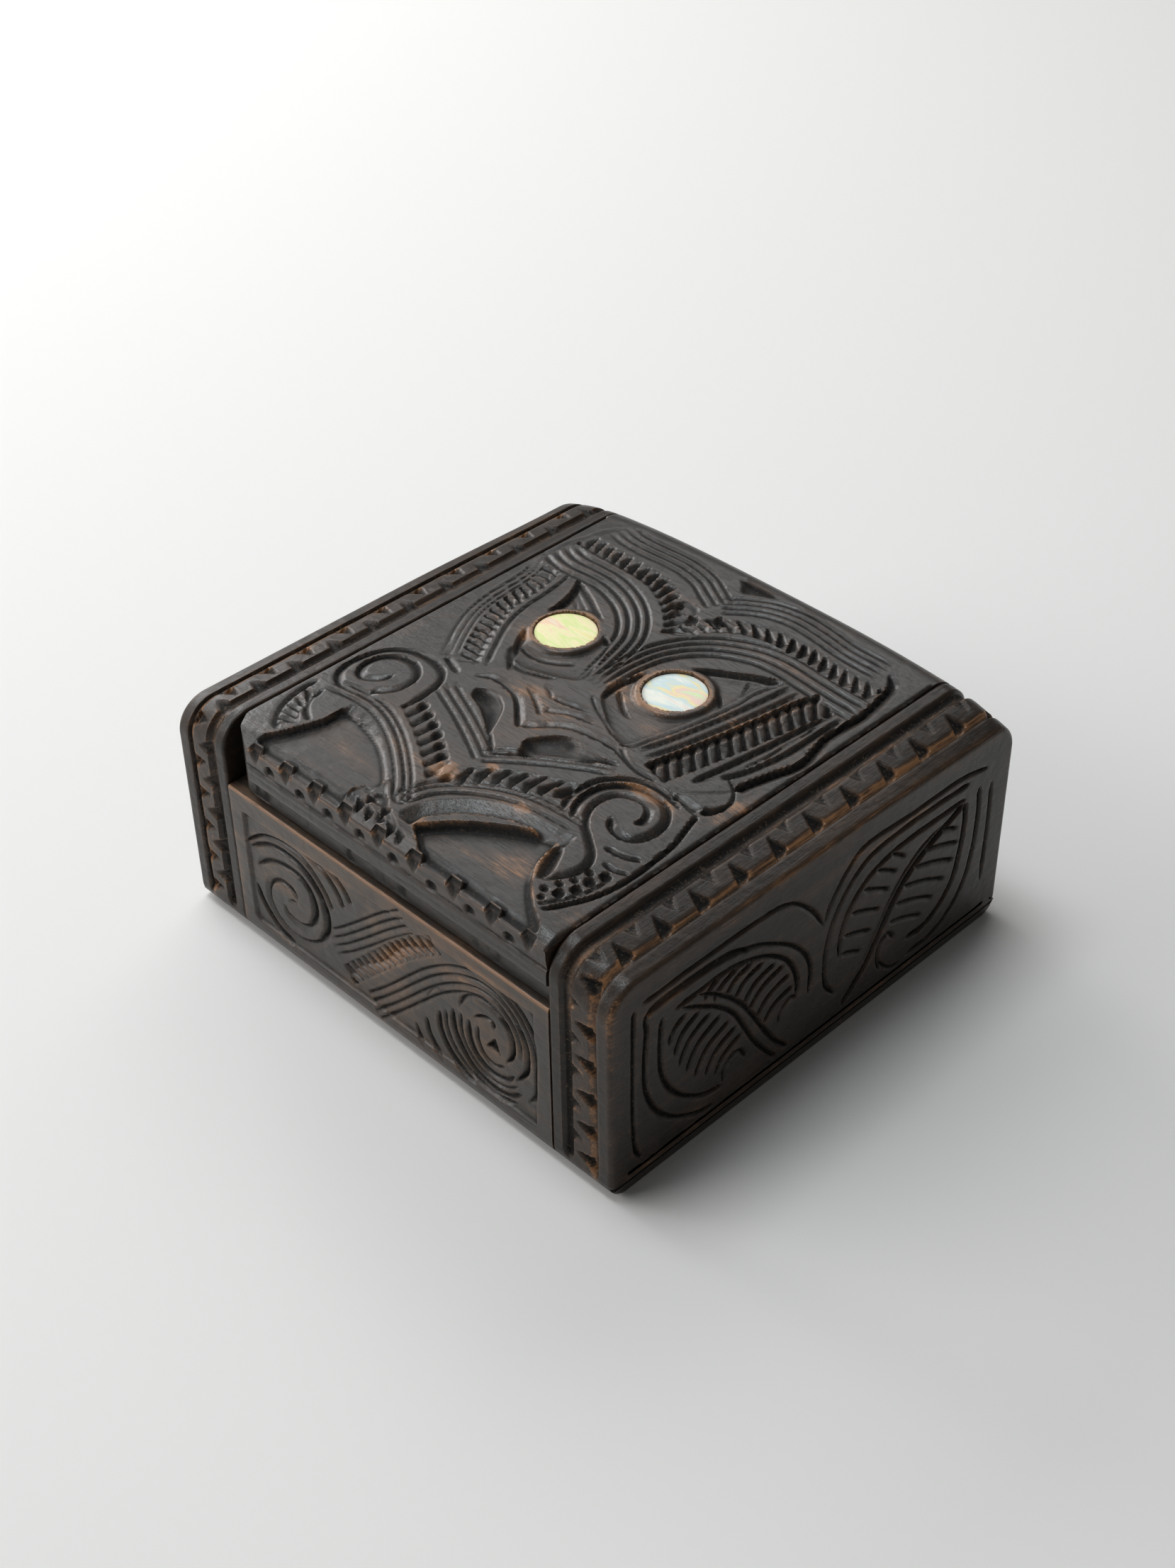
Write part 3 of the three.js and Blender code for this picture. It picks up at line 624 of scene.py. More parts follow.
SPIRAL_ARM_RIGHT = (
    (36.9, -30.9), (38.7, -33.4), (41.8, -34.5), (44.9, -33.8), (47.1, -31.3), (47.9, -27.5), (47, -23),
    (43.6, -19.2), (39, -18.1), (34.5, -18.7), (30.5, -21.2), (27.8, -25), (27.1, -29.5), (28.2, -34),
    (31, -38),
)
SPIRAL_HEART_RIGHT = (
    (42.1, -28.8), (42.2, -25.6), (40, -22.8), (36.4, -22.7), (33, -24.6), (31.5, -28.3), (32, -32.3),
    (34.4, -36.2), (38, -38.8), (42.2, -41.8), (44.6, -45), (45, -49), (43.4, -53), (41, -56.6),
)
LIP_LEFT = (
    (-49, -40.4), (-43, -39.8), (-36, -39.6), (-30, -40.6), (-24.5, -42.6), (-19, -45.4), (-13, -49.3),
    (-7, -53.9), (-1.6, -58.8),
)
LIP_RIGHT = (
    (-0.4, -58.4), (2.2, -52.2), (7, -47.4), (13, -43.6), (20, -40.9), (27, -39.8), (35.6, -39),
)
LIP_SLOPE_RIGHT = (
    (1.8, -65), (2.2, -60), (4.9, -55), (9.9, -49.4), (16.2, -45), (22.4, -42.2), (28, -41), (37, -40.6),
)
FAN_LEFT = ((-28, -24), (-22, -26.5), (-15.5, -29.2), (-9, -32.2), (-4, -34.7), (0.6, -37.2))
FAN_RIGHT = ((0.6, -37.2), (5.6, -32.8), (10.6, -28.9), (16, -25.2), (21, -22), (26.6, -19))
LIP_BAND_LEFT = ((-27.6, -33.4), (-22, -36), (-16, -39), (-10, -42.6), (-4, -46.6), (0.6, -50))
LIP_BAND_RIGHT = ((0.6, -47), (4.6, -42.8), (10, -38.8), (15.6, -35.6), (20.6, -33), (25, -31))
SOCKET_LEFT = LID_UPPER_LEFT + ((-8.6, 11), (-5, 1.4), (-9.6, -2.2), (-15.5, -4.4), (-21, -5.4), (-27.6, 0.6)) + (
    (-31.4, 9), (-32.6, 18), (-35, 27),
)
SOCKET_RIGHT = LID_UPPER_RIGHT + ((9, -5), (15, -9), (20, -10.6), (22.6, -8), (25, 2), (27.6, 13), (28.4, 24))
NOSTRIL_LEFT = (
    (-20.4, -19), (-18, -17.5), (-14.3, -17.6), (-10.5, -19.8), (-7.8, -23.8), (-6.1, -27), (-4.9, -30),
    (-9.3, -26.9), (-14.3, -23.8), (-19.3, -21.8),
)
NOSTRIL_RIGHT = (
    (3, -25.2), (4.9, -21.6), (7.6, -18.4), (11, -17), (14.5, -18), (18, -17.8), (25.4, -16.8),
    (20.5, -19.7), (15.6, -22.5), (11.1, -25.6), (6.4, -29.8), (4.2, -27.6),
)
MOUTH_LEFT = (
    (-38, -46), (-30.5, -46.6), (-25.5, -47.9), (-20.5, -50), (-15.5, -53.1), (-10.6, -57), (-8.6, -60.2),
    (-11.2, -62.4), (-12.4, -66), (-11.8, -74), (-30, -76), (-43, -73), (-44.5, -66.6), (-42.2, -62),
    (-40.6, -58), (-38.4, -52),
)
MOUTH_RIGHT = (
    (13, -68), (8, -64.4), (10.5, -60.2), (14.9, -55.6), (20.5, -51.2), (26.8, -47.3), (32, -45),
    (34.6, -45.4), (35.4, -49.6), (36.8, -54.2), (40.4, -59), (45.4, -63.2), (51, -67), (52, -74),
    (30, -76), (15, -74),
)

MASK = Carving(
    marks=(
        # Forehead
        Ribs(FOREHEAD_LEFT, (-3.7, -1.2, 1.1, 3.3), 2.3, 0.95, (7, 2)),
        Ribs(FOREHEAD_RIGHT, (-3.5, -1.2, 1.1, 3.2), 2.3, 0.95, (2, 4)),
        Hollow(((-9, 62), (-4, 63.2), (3, 63), (6.8, 60.2), (2, 57.6), (-2.6, 55.6), (-5.6, 58.6)), 1.4, 3.0),
        # Notched bands of the brows
        Notches(BAND_LEFT, 3.1, 3.6, 1.7, 0.45, Tooth.CHIP, 0.2, 0.25),
        Notches(BAND_RIGHT, 2.9, 3.5, 1.7, 0.5, Tooth.CHIP, 0.2, 0.25),
        Hollow(((-10.5, 43.4), (-6, 43.6), (-4, 40.4), (-8.4, 38.6), (-10.4, 40.6)), 1.1, 1.4, bowl=True),
        Hollow(((-4.6, 40.6), (-1.8, 39.8), (-2, 36.4), (-3.6, 36.6)), 1.3, 1.0, bowl=True),
        Hollow(((1.4, 44.4), (4.6, 43), (3.6, 41.2), (1.2, 42)), 1.3, 1.0, bowl=True),
        # Brows
        Ribs(BROW_LEFT, (4.4, 1.7, -1.3, -4.2), 2.9, 1.1, (5, 9), 0.66),
        Ribs(BROW_RIGHT, (-4.4, -1.6, 1.4, 4.4), 2.9, 1.1, (4, 9), 0.66),
        # Eyelids and sunk eye sockets
        Hollow(SOCKET_LEFT, 1.3, 5.0, bowl=True),
        Hollow(SOCKET_RIGHT, 1.3, 5.0, bowl=True),
        Cut(LID_UPPER_LEFT, 1.3, 0.5, 1.5, (2, 1)),
        Cut(LID_UPPER_RIGHT, 1.7, 1.4, 0.5, (2, 4)),
        Cut(LID_OUTER_LEFT, 1.4, 1.6, 0.7, (4, 3)),
        Cut(LID_OUTER_RIGHT, 1.6, 0.7, 1.6, (4, 3)),
        # Ribs and beads beside the eyes
        Ribs(SIDE_LEFT, (-1.5, 1.6), 2.8, 0.95, (4, 4)),
        Ribs(SIDE_RIGHT, (-1.6, 1.5), 2.8, 0.95, (4, 4)),
        Notches(BEADS_LEFT, 2.9, 3.0, 1.6, -0.5, Tooth.CHIP, 0.2, 0.3),
        Notches(BEADS_RIGHT, 3.9, 3.6, 2.2, -0.6, Tooth.GEM, 0.0),
        Ribs(EDGE_LEFT, (-1.4, 0.7, 2.4), 1.9, 0.8, (4, 4)),
        Cut(((46.6, 36), (46.2, 30), (45.4, 22), (44.6, 14), (43.4, 5), (42.3, -2), (41.1, -9)),
            1.2, 1.2, 0.9, (3, 3)),
        Cut(((49.6, 34), (49.2, 26), (49.3, 20), (48.7, 12), (47.2, 4), (46, 0), (44.6, -3)), 1.1, 1.2, 0.8, (3, 2)),
        Cut(((47.9, 30), (47.3, 22), (46.9, 10), (45.6, 2)), 0.45, 0.45, 0.45, (3, 3)),
        # Edge of the mask
        Cut(MASK_EDGE_RIGHT, 2.4, 2.3, 0.4, (3, 1)),
        Cut(PAD_EDGE, 0.9, 0.5, 0.4, (1, 0)),
        Cut(((44.8, -1.4), (42.7, -5.9), (41.8, -9.2)), 0.4, 0.4, 0.4),
        Hollow(((52.1, -8.4), (51.5, -10.8), (50.6, -12.3), (49.4, -13.2), (49.7, -15.2), (51, -14.8), (52, -12.8),
                (52.5, -10.4)),
               1.9, 0.5),
        Cut(CHIN_EDGE_RIGHT, 1.7, 0.9, 0.4, (1, 3)),
        Cut(MASK_EDGE_LEFT, 0.5, 1.4, 0.7, (3, 3)),
        # Eye sockets
        Cut(((-27.6, 1.8), (-24.3, 0.5), (-19.3, 0.7), (-14.9, 2.6), (-11.2, 5.6)), 1.2, 1.6, 0.5, (2, 2)),
        Cut(((-27.4, -0.6), (-23.8, -4.6), (-20.5, -5.8), (-15.5, -5), (-9.6, -2.6)), 1.2, 0.5, 1.8, (2, 2)),
        Cut(((-10.6, 16), (-8.6, 11.6), (-6.6, 6.6), (-4.6, 1.6)), 1.2, 0.6, 1.2, (2, 3)),
        Cut(((-36, 29.6), (-31, 26.6), (-26, 23.6)), 0.5, 0.6, 0.8, (2, 2)),
        Cut(((-34, 27.4), (-31, 24.9), (-28.4, 22.6)), 0.5, 0.6, 0.8, (2, 2)),
        Cut(((4.6, 5), (7, 2.8), (10.4, 0.4), (14, -1)), 1.1, 0.5, 1.2, (1, 3)),
        Cut(((21.4, 21), (24, 19), (26.2, 16.6)), 0.9, 0.9, 0.5, (2, 2)),
        Cut(((24.4, 30.4), (25.4, 27), (26.8, 23.6)), 0.5, 0.7, 0.7, (2, 2)),
        # Wrinkles and wings of the nose
        Cut(((-25, -16), (-20, -13.6), (-13, -14.6), (-9.6, -16.4), (-7.4, -18.3), (-4.4, -21), (-2.2, -23)),
            1.5, 2.2, 0.4, (6, 1)),
        Cut(((-1.8, -22.2), (1, -20.3), (3, -18), (5.4, -16), (8, -14.7), (12.4, -13.7), (20, -13.2), (26, -15)),
            1.4, 2.3, 0.4, (1, 6)),
        Cut(((-13, -9.8), (-8.5, -12), (-5, -14), (-1.8, -16.2)), 1.0, 1.9, 0.4, (4, 1)),
        Cut(((-2.4, -14.4), (0, -13.2), (2.6, -11.5), (5, -10.7), (10.4, -9.7)), 1.1, 2.1, 0.4, (1, 4)),
        Cut(((-4.2, -9.5), (-2, -9.1), (1.5, -8.3), (6, -7.2)), 1.0, 1.9, 0.4, (1, 3)),
        Cut(((-10, -6.6), (-7, -8), (-4.4, -9.8)), 0.7, 1.4, 0.4, (3, 1)),
        Cut(((1.6, -2), (6, -4.8), (10, -6.6), (16.4, -9.6)), 0.8, 0.35, 0.35, (1, 1)),
        Hollow(NOSTRIL_LEFT, 2.2, 4.2, bowl=True),
        Hollow(NOSTRIL_RIGHT, 2.4, 4.6, bowl=True),
        Cut(((-5.2, -29), (-2.8, -31), (0.6, -33.6)), 1.2, 0.6, 0.8, (1, 1)),
        Cut(((0.8, -33.6), (3.4, -31.8), (6.6, -29.2), (11, -25.6), (16, -22.4), (21, -19.6)),
            1.5, 0.8, 0.8, (0.5, 3)),
        # Ribs under the nose
        Ribs(FAN_LEFT, (-1.4, 0.9, 3.2), 2.3, 0.9, (3, 1)),
        Ribs(FAN_RIGHT, (-1.2, 1.1, 3.3), 2.3, 0.9, (1, 3)),
        Notches(LIP_BAND_LEFT, 3.2, 4.1, 1.9, 0.4, Tooth.SCALE, 0.15, 0.3, 0.5),
        Notches(LIP_BAND_RIGHT, 3.3, 4.1, 1.8, -0.5, Tooth.CHIP, 0.2, 0.35),
        # Lips
        Ribs(LIP_LEFT, (-2.6, -0.2, 1.4), 2.2, 1.0, (4, 0)),
        Ribs(LIP_RIGHT, (-1.3, 1.6, 3.2), 2.6, 1.0, (0, 4)),
        Slope(LIP_SLOPE_RIGHT, 5.0, 2.3),
        Slope(((-38, -42.4), (-31, -43), (-25, -44.8), (-19, -47.6), (-13, -51.6), (-7, -56.6)), 3.6, 1.2),
        Hollow(MOUTH_LEFT, 1.9, 0.7),
        Hollow(MOUTH_RIGHT, 2.6, 0.7),
        # Spirals on the cheeks of the mask
        Cut(SPIRAL_RIM_LEFT, 1.5, 1.9, 0.6, (4, 3)),
        Cut(SPIRAL_ARM_LEFT, 1.6, 0.5, 2.2, (2, 2)),
        Cut(SPIRAL_RIM_RIGHT, 1.3, 0.6, 1.5, (3, 3)),
        Cut(SPIRAL_ARM_RIGHT, 1.7, 2.2, 0.5, (2, 3)),
        Cut(SPIRAL_HEART_RIGHT, 1.5, 0.5, 2.1, (1.5, 4)),
        # Cheeks of the mask below the eyes
        Cut(((50, -4.2), (46.3, -8.8), (42.5, -12.7), (38.5, -14.2)), 0.35, 0.4, 0.4, (1, 2)),
        Slope(((41, -13.3), (45.4, -13.1), (49.3, -13.1)), 2.6, 1.2),
        Cut(((38.7, -14.6), (42.7, -15.4), (48.3, -16.2), (50.6, -15.7)), 0.8, 0.6, 0.4, (2, 1)),
        Cut(((-36.4, -15), (-32.6, -16.4), (-28.6, -18)), 1.2, 1.4, 0.8, (1, 2)),
        Cut(((20.4, -11.4), (25, -14), (30, -15.2), (35.6, -14.6)), 1.1, 1.2, 0.7, (1, 2)),
        # Corners of the mouth
        Hollow(((35.2, -46.4), (37.4, -45.6), (40.6, -51), (41.6, -54.6), (40, -57.6), (37, -54), (35.4, -50)),
               2.0, 2.6),
        Cut(((43.2, -39.3), (46, -39), (49, -38), (51.6, -36.2)), 1.3, 1.4, 0.5, (1, 1)),
        Cut(((46.4, -43), (49.4, -43.2), (52.8, -41.4)), 1.1, 1.3, 0.5, (1, 1)),
        Cut(((51, -45), (50.8, -50), (49.8, -54.6), (47.8, -59), (45.8, -62.6)), 0.8, 0.5, 0.6, (1, 1)),
        Cut(((-53, -42), (-53, -48), (-51.4, -54), (-47.6, -59.4), (-43.6, -62.4)), 1.2, 0.8, 1.4, (2, 3)),
        Notches(((-50, -45.6), (-49.6, -51), (-47, -56), (-43.6, -59.4)), 2.6, 2.9, 1.6, -0.8, sink=0.5),
        Cut(((-48.4, -44), (-47.8, -48.6), (-45, -52.4), (-40.6, -55)), 1.2, 0.7, 1.0, (2, 1)),
        # Teeth
        Hollow(((-10.4, -60.8), (-12, -63.6), (-12.1, -66.4), (-11, -69.4), (-4, -70.5), (5, -70.4), (5, -67),
                (1, -64.8),
                (-1.6, -63.8), (-5, -61), (-8, -58.8)), 0.7, 0.5),
        Hollow(((-7, -61.4), (-4.4, -61.6), (-2, -63.8), (-4, -65), (-7, -64.6)), 1.4, 1.0, bowl=True),
        Hollow(((-10.6, -62), (-9, -61.6), (-8.6, -63.4), (-10.2, -64)), 1.0, 0.7, bowl=True),
    ) + tuple(
        Chip((x, y), (x + 2.9, y - 3.4), (x + 3.7, y - 1.0), 1.6, 0.25, 0.1)
        for x, y in (
            (-10.2, -65.4), (-6.6, -65.8), (-2.8, -65.9), (0.9, -66.2), (-9.2, -62.9), (-3.4, -63.6), (4.6, -66.6),
        )
    ) + tuple(
        Pit(centre, radius, 1.1 * radius)
        for centre, radius in (
            ((50, -45.6), 1.4), ((48.9, -49.4), 1.4), ((48.6, -53.2), 1.4), ((46.8, -56.9), 1.4), ((46.9, -47.4), 1.0),
            ((46.2, -51.4), 1.0), ((44.8, -54.6), 1.0), ((43.6, -58), 1.0), ((45, -60.4), 0.9),
        )
    ),
    worn=(
        Worn((0, 0), (110, 110), 0.1),
        Worn((-1, -24), (6, 9), 0.55),
        Worn((2, -13), (14, 6), 0.35),
        Worn((-12, -10), (8, 5), 0.5),
        Worn((32, -56), (7, 4.5), 1.2, 20),
        Worn((17, -62), (9, 3), 0.5, 10),
        Worn((-28, -54), (13, 4), 0.7, -14),
        Worn((8, 6), (7, 5), 0.9),
        Worn((20, -1), (8, 4), 0.7),
        Worn((-29, 6), (6, 4), 0.7),
        Worn(EYE_LEFT, (EYE_RIM, EYE_RIM), 0.9),
        Worn(EYE_RIGHT, (EYE_RIM, EYE_RIM), 0.9),
        Worn((-2, -45.4), (3.4, 3), 1.5),
        Worn((5, -37.4), (2, 1.4), 1.3),
        Worn((20.6, -43.2), (1.6, 1.2), 1.3),
        Worn((36, -18.6), (5, 1.6), 0.9),
        Worn((54, -7), (1.6, 2.6), 1.2),
        Worn((53.6, -14), (1.4, 2), 0.9),
        Worn((-15, -46), (24, 4), 0.5, -35),
        Worn((18, -43), (18, 3), 0.5, 28),
        Worn((38, -21), (9, 4), 0.5),
        Worn((33.5, 12), (1.6, 22), 0.4, -6),
        Worn((38, 24), (2.6, 9), 0.6, -8),
        Worn((54.5, -7), (1.8, 8), 0.6),
        Worn((54, -60), (2.5, 8), 0.6),
        Worn((-53, -12), (2.5, 8), 0.4),
        Worn((23, 40), (12, 2), 0.5, 8),
    ),
    bosses=((EYE_LEFT, EYE_RIM), (EYE_RIGHT, EYE_RIM), ((-2, -45.4), 1.1)),
    pockets=((EYE_LEFT, SOCKET_RADIUS, 2.3), (EYE_RIGHT, SOCKET_RADIUS, 2.3)),
)

# Front board. Coordinates are millimetres across the box and up from its underside.

FRONT_BAND = ((-15.5, 10), (-12, 13.6), (-7, 18.6), (-2.5, 23.4), (2, 28), (7.5, 33), (13, 37.6), (19, 42))
FRONT_RIBS_UPPER = ((-21, 17), (-16, 20.6), (-10.5, 25.4), (-5, 30.4), (0, 35), (6, 40), (9, 42.2))
FRONT_RIBS_LOWER = (
    (-6, 6.4), (-1, 11), (4.5, 16.6), (10, 22.4), (16, 28.4), (22, 33.2), (28, 36.6), (34, 38.4), (39.6, 37.6),
    (44, 34.4), (46.6, 29.6), (47.2, 24),
)

FRONT_CARVING = Carving(
    marks=(
        Hollow(((-52, 8), (-52, 41.6), (51.5, 42.6), (51.5, 6.4), (-50, 6.4)), 0.7, 1.0, smooth=False),
        Notches(FRONT_BAND, 3.0, 3.2, 2.1, 0.5, Tooth.CHIP, 0.3, 0.5),
        Ribs(FRONT_RIBS_UPPER, (-2.9, -0.7, 1.5, 3.7), 2.2, 0.9, (3, 1)),
        Ribs(FRONT_RIBS_LOWER, (-3.4, -1.2, 1.2, 3.4), 2.3, 0.95, (1, 3)),
        # Left spiral
        Cut(((-39.2, 18.4), (-38, 16.2), (-34, 15.4), (-30, 17), (-27.4, 20.8), (-26.8, 25), (-28.4, 29), (-32, 31.4),
             (-38, 31.4), (-44, 29.4), (-48.6, 25.8)), 1.2, 0.6, 2.0),
        Cut(((-33.2, 23.4), (-36, 25), (-40, 25.2), (-43.6, 22.8), (-45, 19), (-44.2, 15), (-41, 11.8), (-36, 10.2),
             (-30.6, 11.4), (-26, 14.6), (-23, 19), (-22.2, 24), (-23.4, 28.6), (-27, 33), (-32, 35.6), (-38, 36),
             (-44, 34.6), (-50.6, 30.6)), 1.2, 0.6, 2.0),
        Cut(((-28.4, 29), (-27, 25), (-27.6, 21), (-29.8, 17.6)), 2.0, 0.5, 1.3, (4, 4)),
        Cut(((-24, 29), (-22.4, 24), (-23.2, 19), (-26.4, 14.2)), 2.2, 0.5, 1.4, (4, 4)),
        Cut(((-33.6, 22), (-36, 21.4), (-37.6, 20.6)), 0.8, 0.6, 1.0),
        Cut(((-50.4, 19), (-49.4, 15), (-46.4, 11), (-42, 7.8), (-36, 6.4)), 1.1, 1.8, 0.6),
        Cut(((-52, 32), (-46, 36.6), (-40, 39), (-33, 39.6), (-28, 38.4), (-24, 35.4), (-20.6, 31), (-19.4, 28.6)),
            1.4, 0.5, 1.6, (4, 1)),
        Cut(((-24, 35.4), (-21.4, 32.4), (-19.4, 28.6)), 1.8, 0.5, 1.2, (3, 1)),
        Cut(((-28, 41), (-22, 40), (-18.4, 37.6), (-16, 34.6), (-14.9, 31.8)), 1.7, 0.5, 1.5, (4, 1)),
        Cut(((-21, 41.4), (-17, 40.4), (-13.6, 37.8), (-11.8, 35)), 1.3, 0.5, 1.4, (3, 1)),
        # Right spiral
        Cut(((30.4, 27), (33, 28.8), (35.4, 29.8), (37, 29.4), (37.2, 27.6)), 1.3, 0.7, 0.7, (2, 1)),
        Cut(((31.6, 25.4), (31.2, 20.6), (33.4, 16.8), (37.2, 15.8), (40.6, 18)), 0.9, 1.2, 0.6),
        Chip((37.4, 25.4), (34.2, 20.8), (39.4, 20), 1.5, 0.5, 0.15),
        Cut(((40.2, 32.6), (36, 34.2), (31, 33.8), (27, 31), (25.6, 27.4)), 1.0, 1.6, 0.6),
        Cut(((28.4, 25), (28, 20), (29.4, 16), (32.4, 13.4), (36.4, 12.4), (41, 13.8), (43.6, 17)), 1.2, 1.9, 0.6),
        Cut(((23, 25), (22.6, 20), (24.4, 15), (28.6, 10), (34.6, 7.8), (41, 8.6), (46, 12.6)), 1.2, 1.9, 0.6),
        Cut(((18, 21), (17.6, 15.6), (20, 10.4), (24.6, 6.8), (31, 5.6)), 1.2, 1.9, 0.6),
        Cut(((25.8, 25.6), (25.4, 20), (27, 15.4), (30.6, 11.8), (35.4, 10.2), (41, 11.2), (44.8, 14.6)),
            0.8, 1.2, 0.5),
        Cut(((20.4, 23), (20.2, 17.6), (22.4, 12.6), (26.8, 8.6), (32.6, 6.8), (39, 6.8), (44.6, 8.6)), 0.8, 1.2, 0.5),
        Cut(((13, 15.6), (13.4, 11), (16, 7.4), (19.4, 5.4)), 1.0, 1.6, 0.6),
        Cut(((9, 11), (10, 7.6), (12.6, 5.4)), 0.9, 1.3, 0.6),
        Cut(((39, 33), (42.6, 30.4), (43.6, 26), (43, 22.4), (41, 19.6)), 2.2, 0.5, 1.4, (4, 4)),
        Cut(((44.4, 34.4), (47.6, 30.4), (48.5, 25.6), (47.6, 20.6), (44.2, 16)), 2.3, 0.5, 1.5, (5, 5)),
        Cut(((42, 41.6), (46.6, 39), (49.8, 35), (51, 30), (50.8, 22), (50.4, 16), (48, 12)), 1.0, 1.4, 0.6),
        Cut(((14, 22.6), (15.8, 26), (18.4, 27.8), (20.6, 26.4)), 0.7, 0.6, 0.6),
    ),
    worn=(
        Worn((0, 45), (60, 2.4), 0.55),
        Worn((-20, 41.4), (22, 1.8), 0.8),
        Worn((34, 43), (14, 1.6), 0.7),
        Worn((-40, 26.6), (8, 5), 0.5),
        Worn((-4, 32), (8, 6), 0.4),
        Worn((2, 27), (24, 2.8), 0.6, 45),
        Worn((2, 14), (10, 8), 0.5),
        Worn((24, 36), (12, 4), 0.6),
        Worn((35, 21), (9, 7), 0.4),
        Worn((-56, 20), (2, 26), 0.5),
        Worn((0, 2.4), (60, 1.6), 0.6),
    ),
)

# Outer face of the right cheek. Coordinates are millimetres back from the middle and up from the underside.

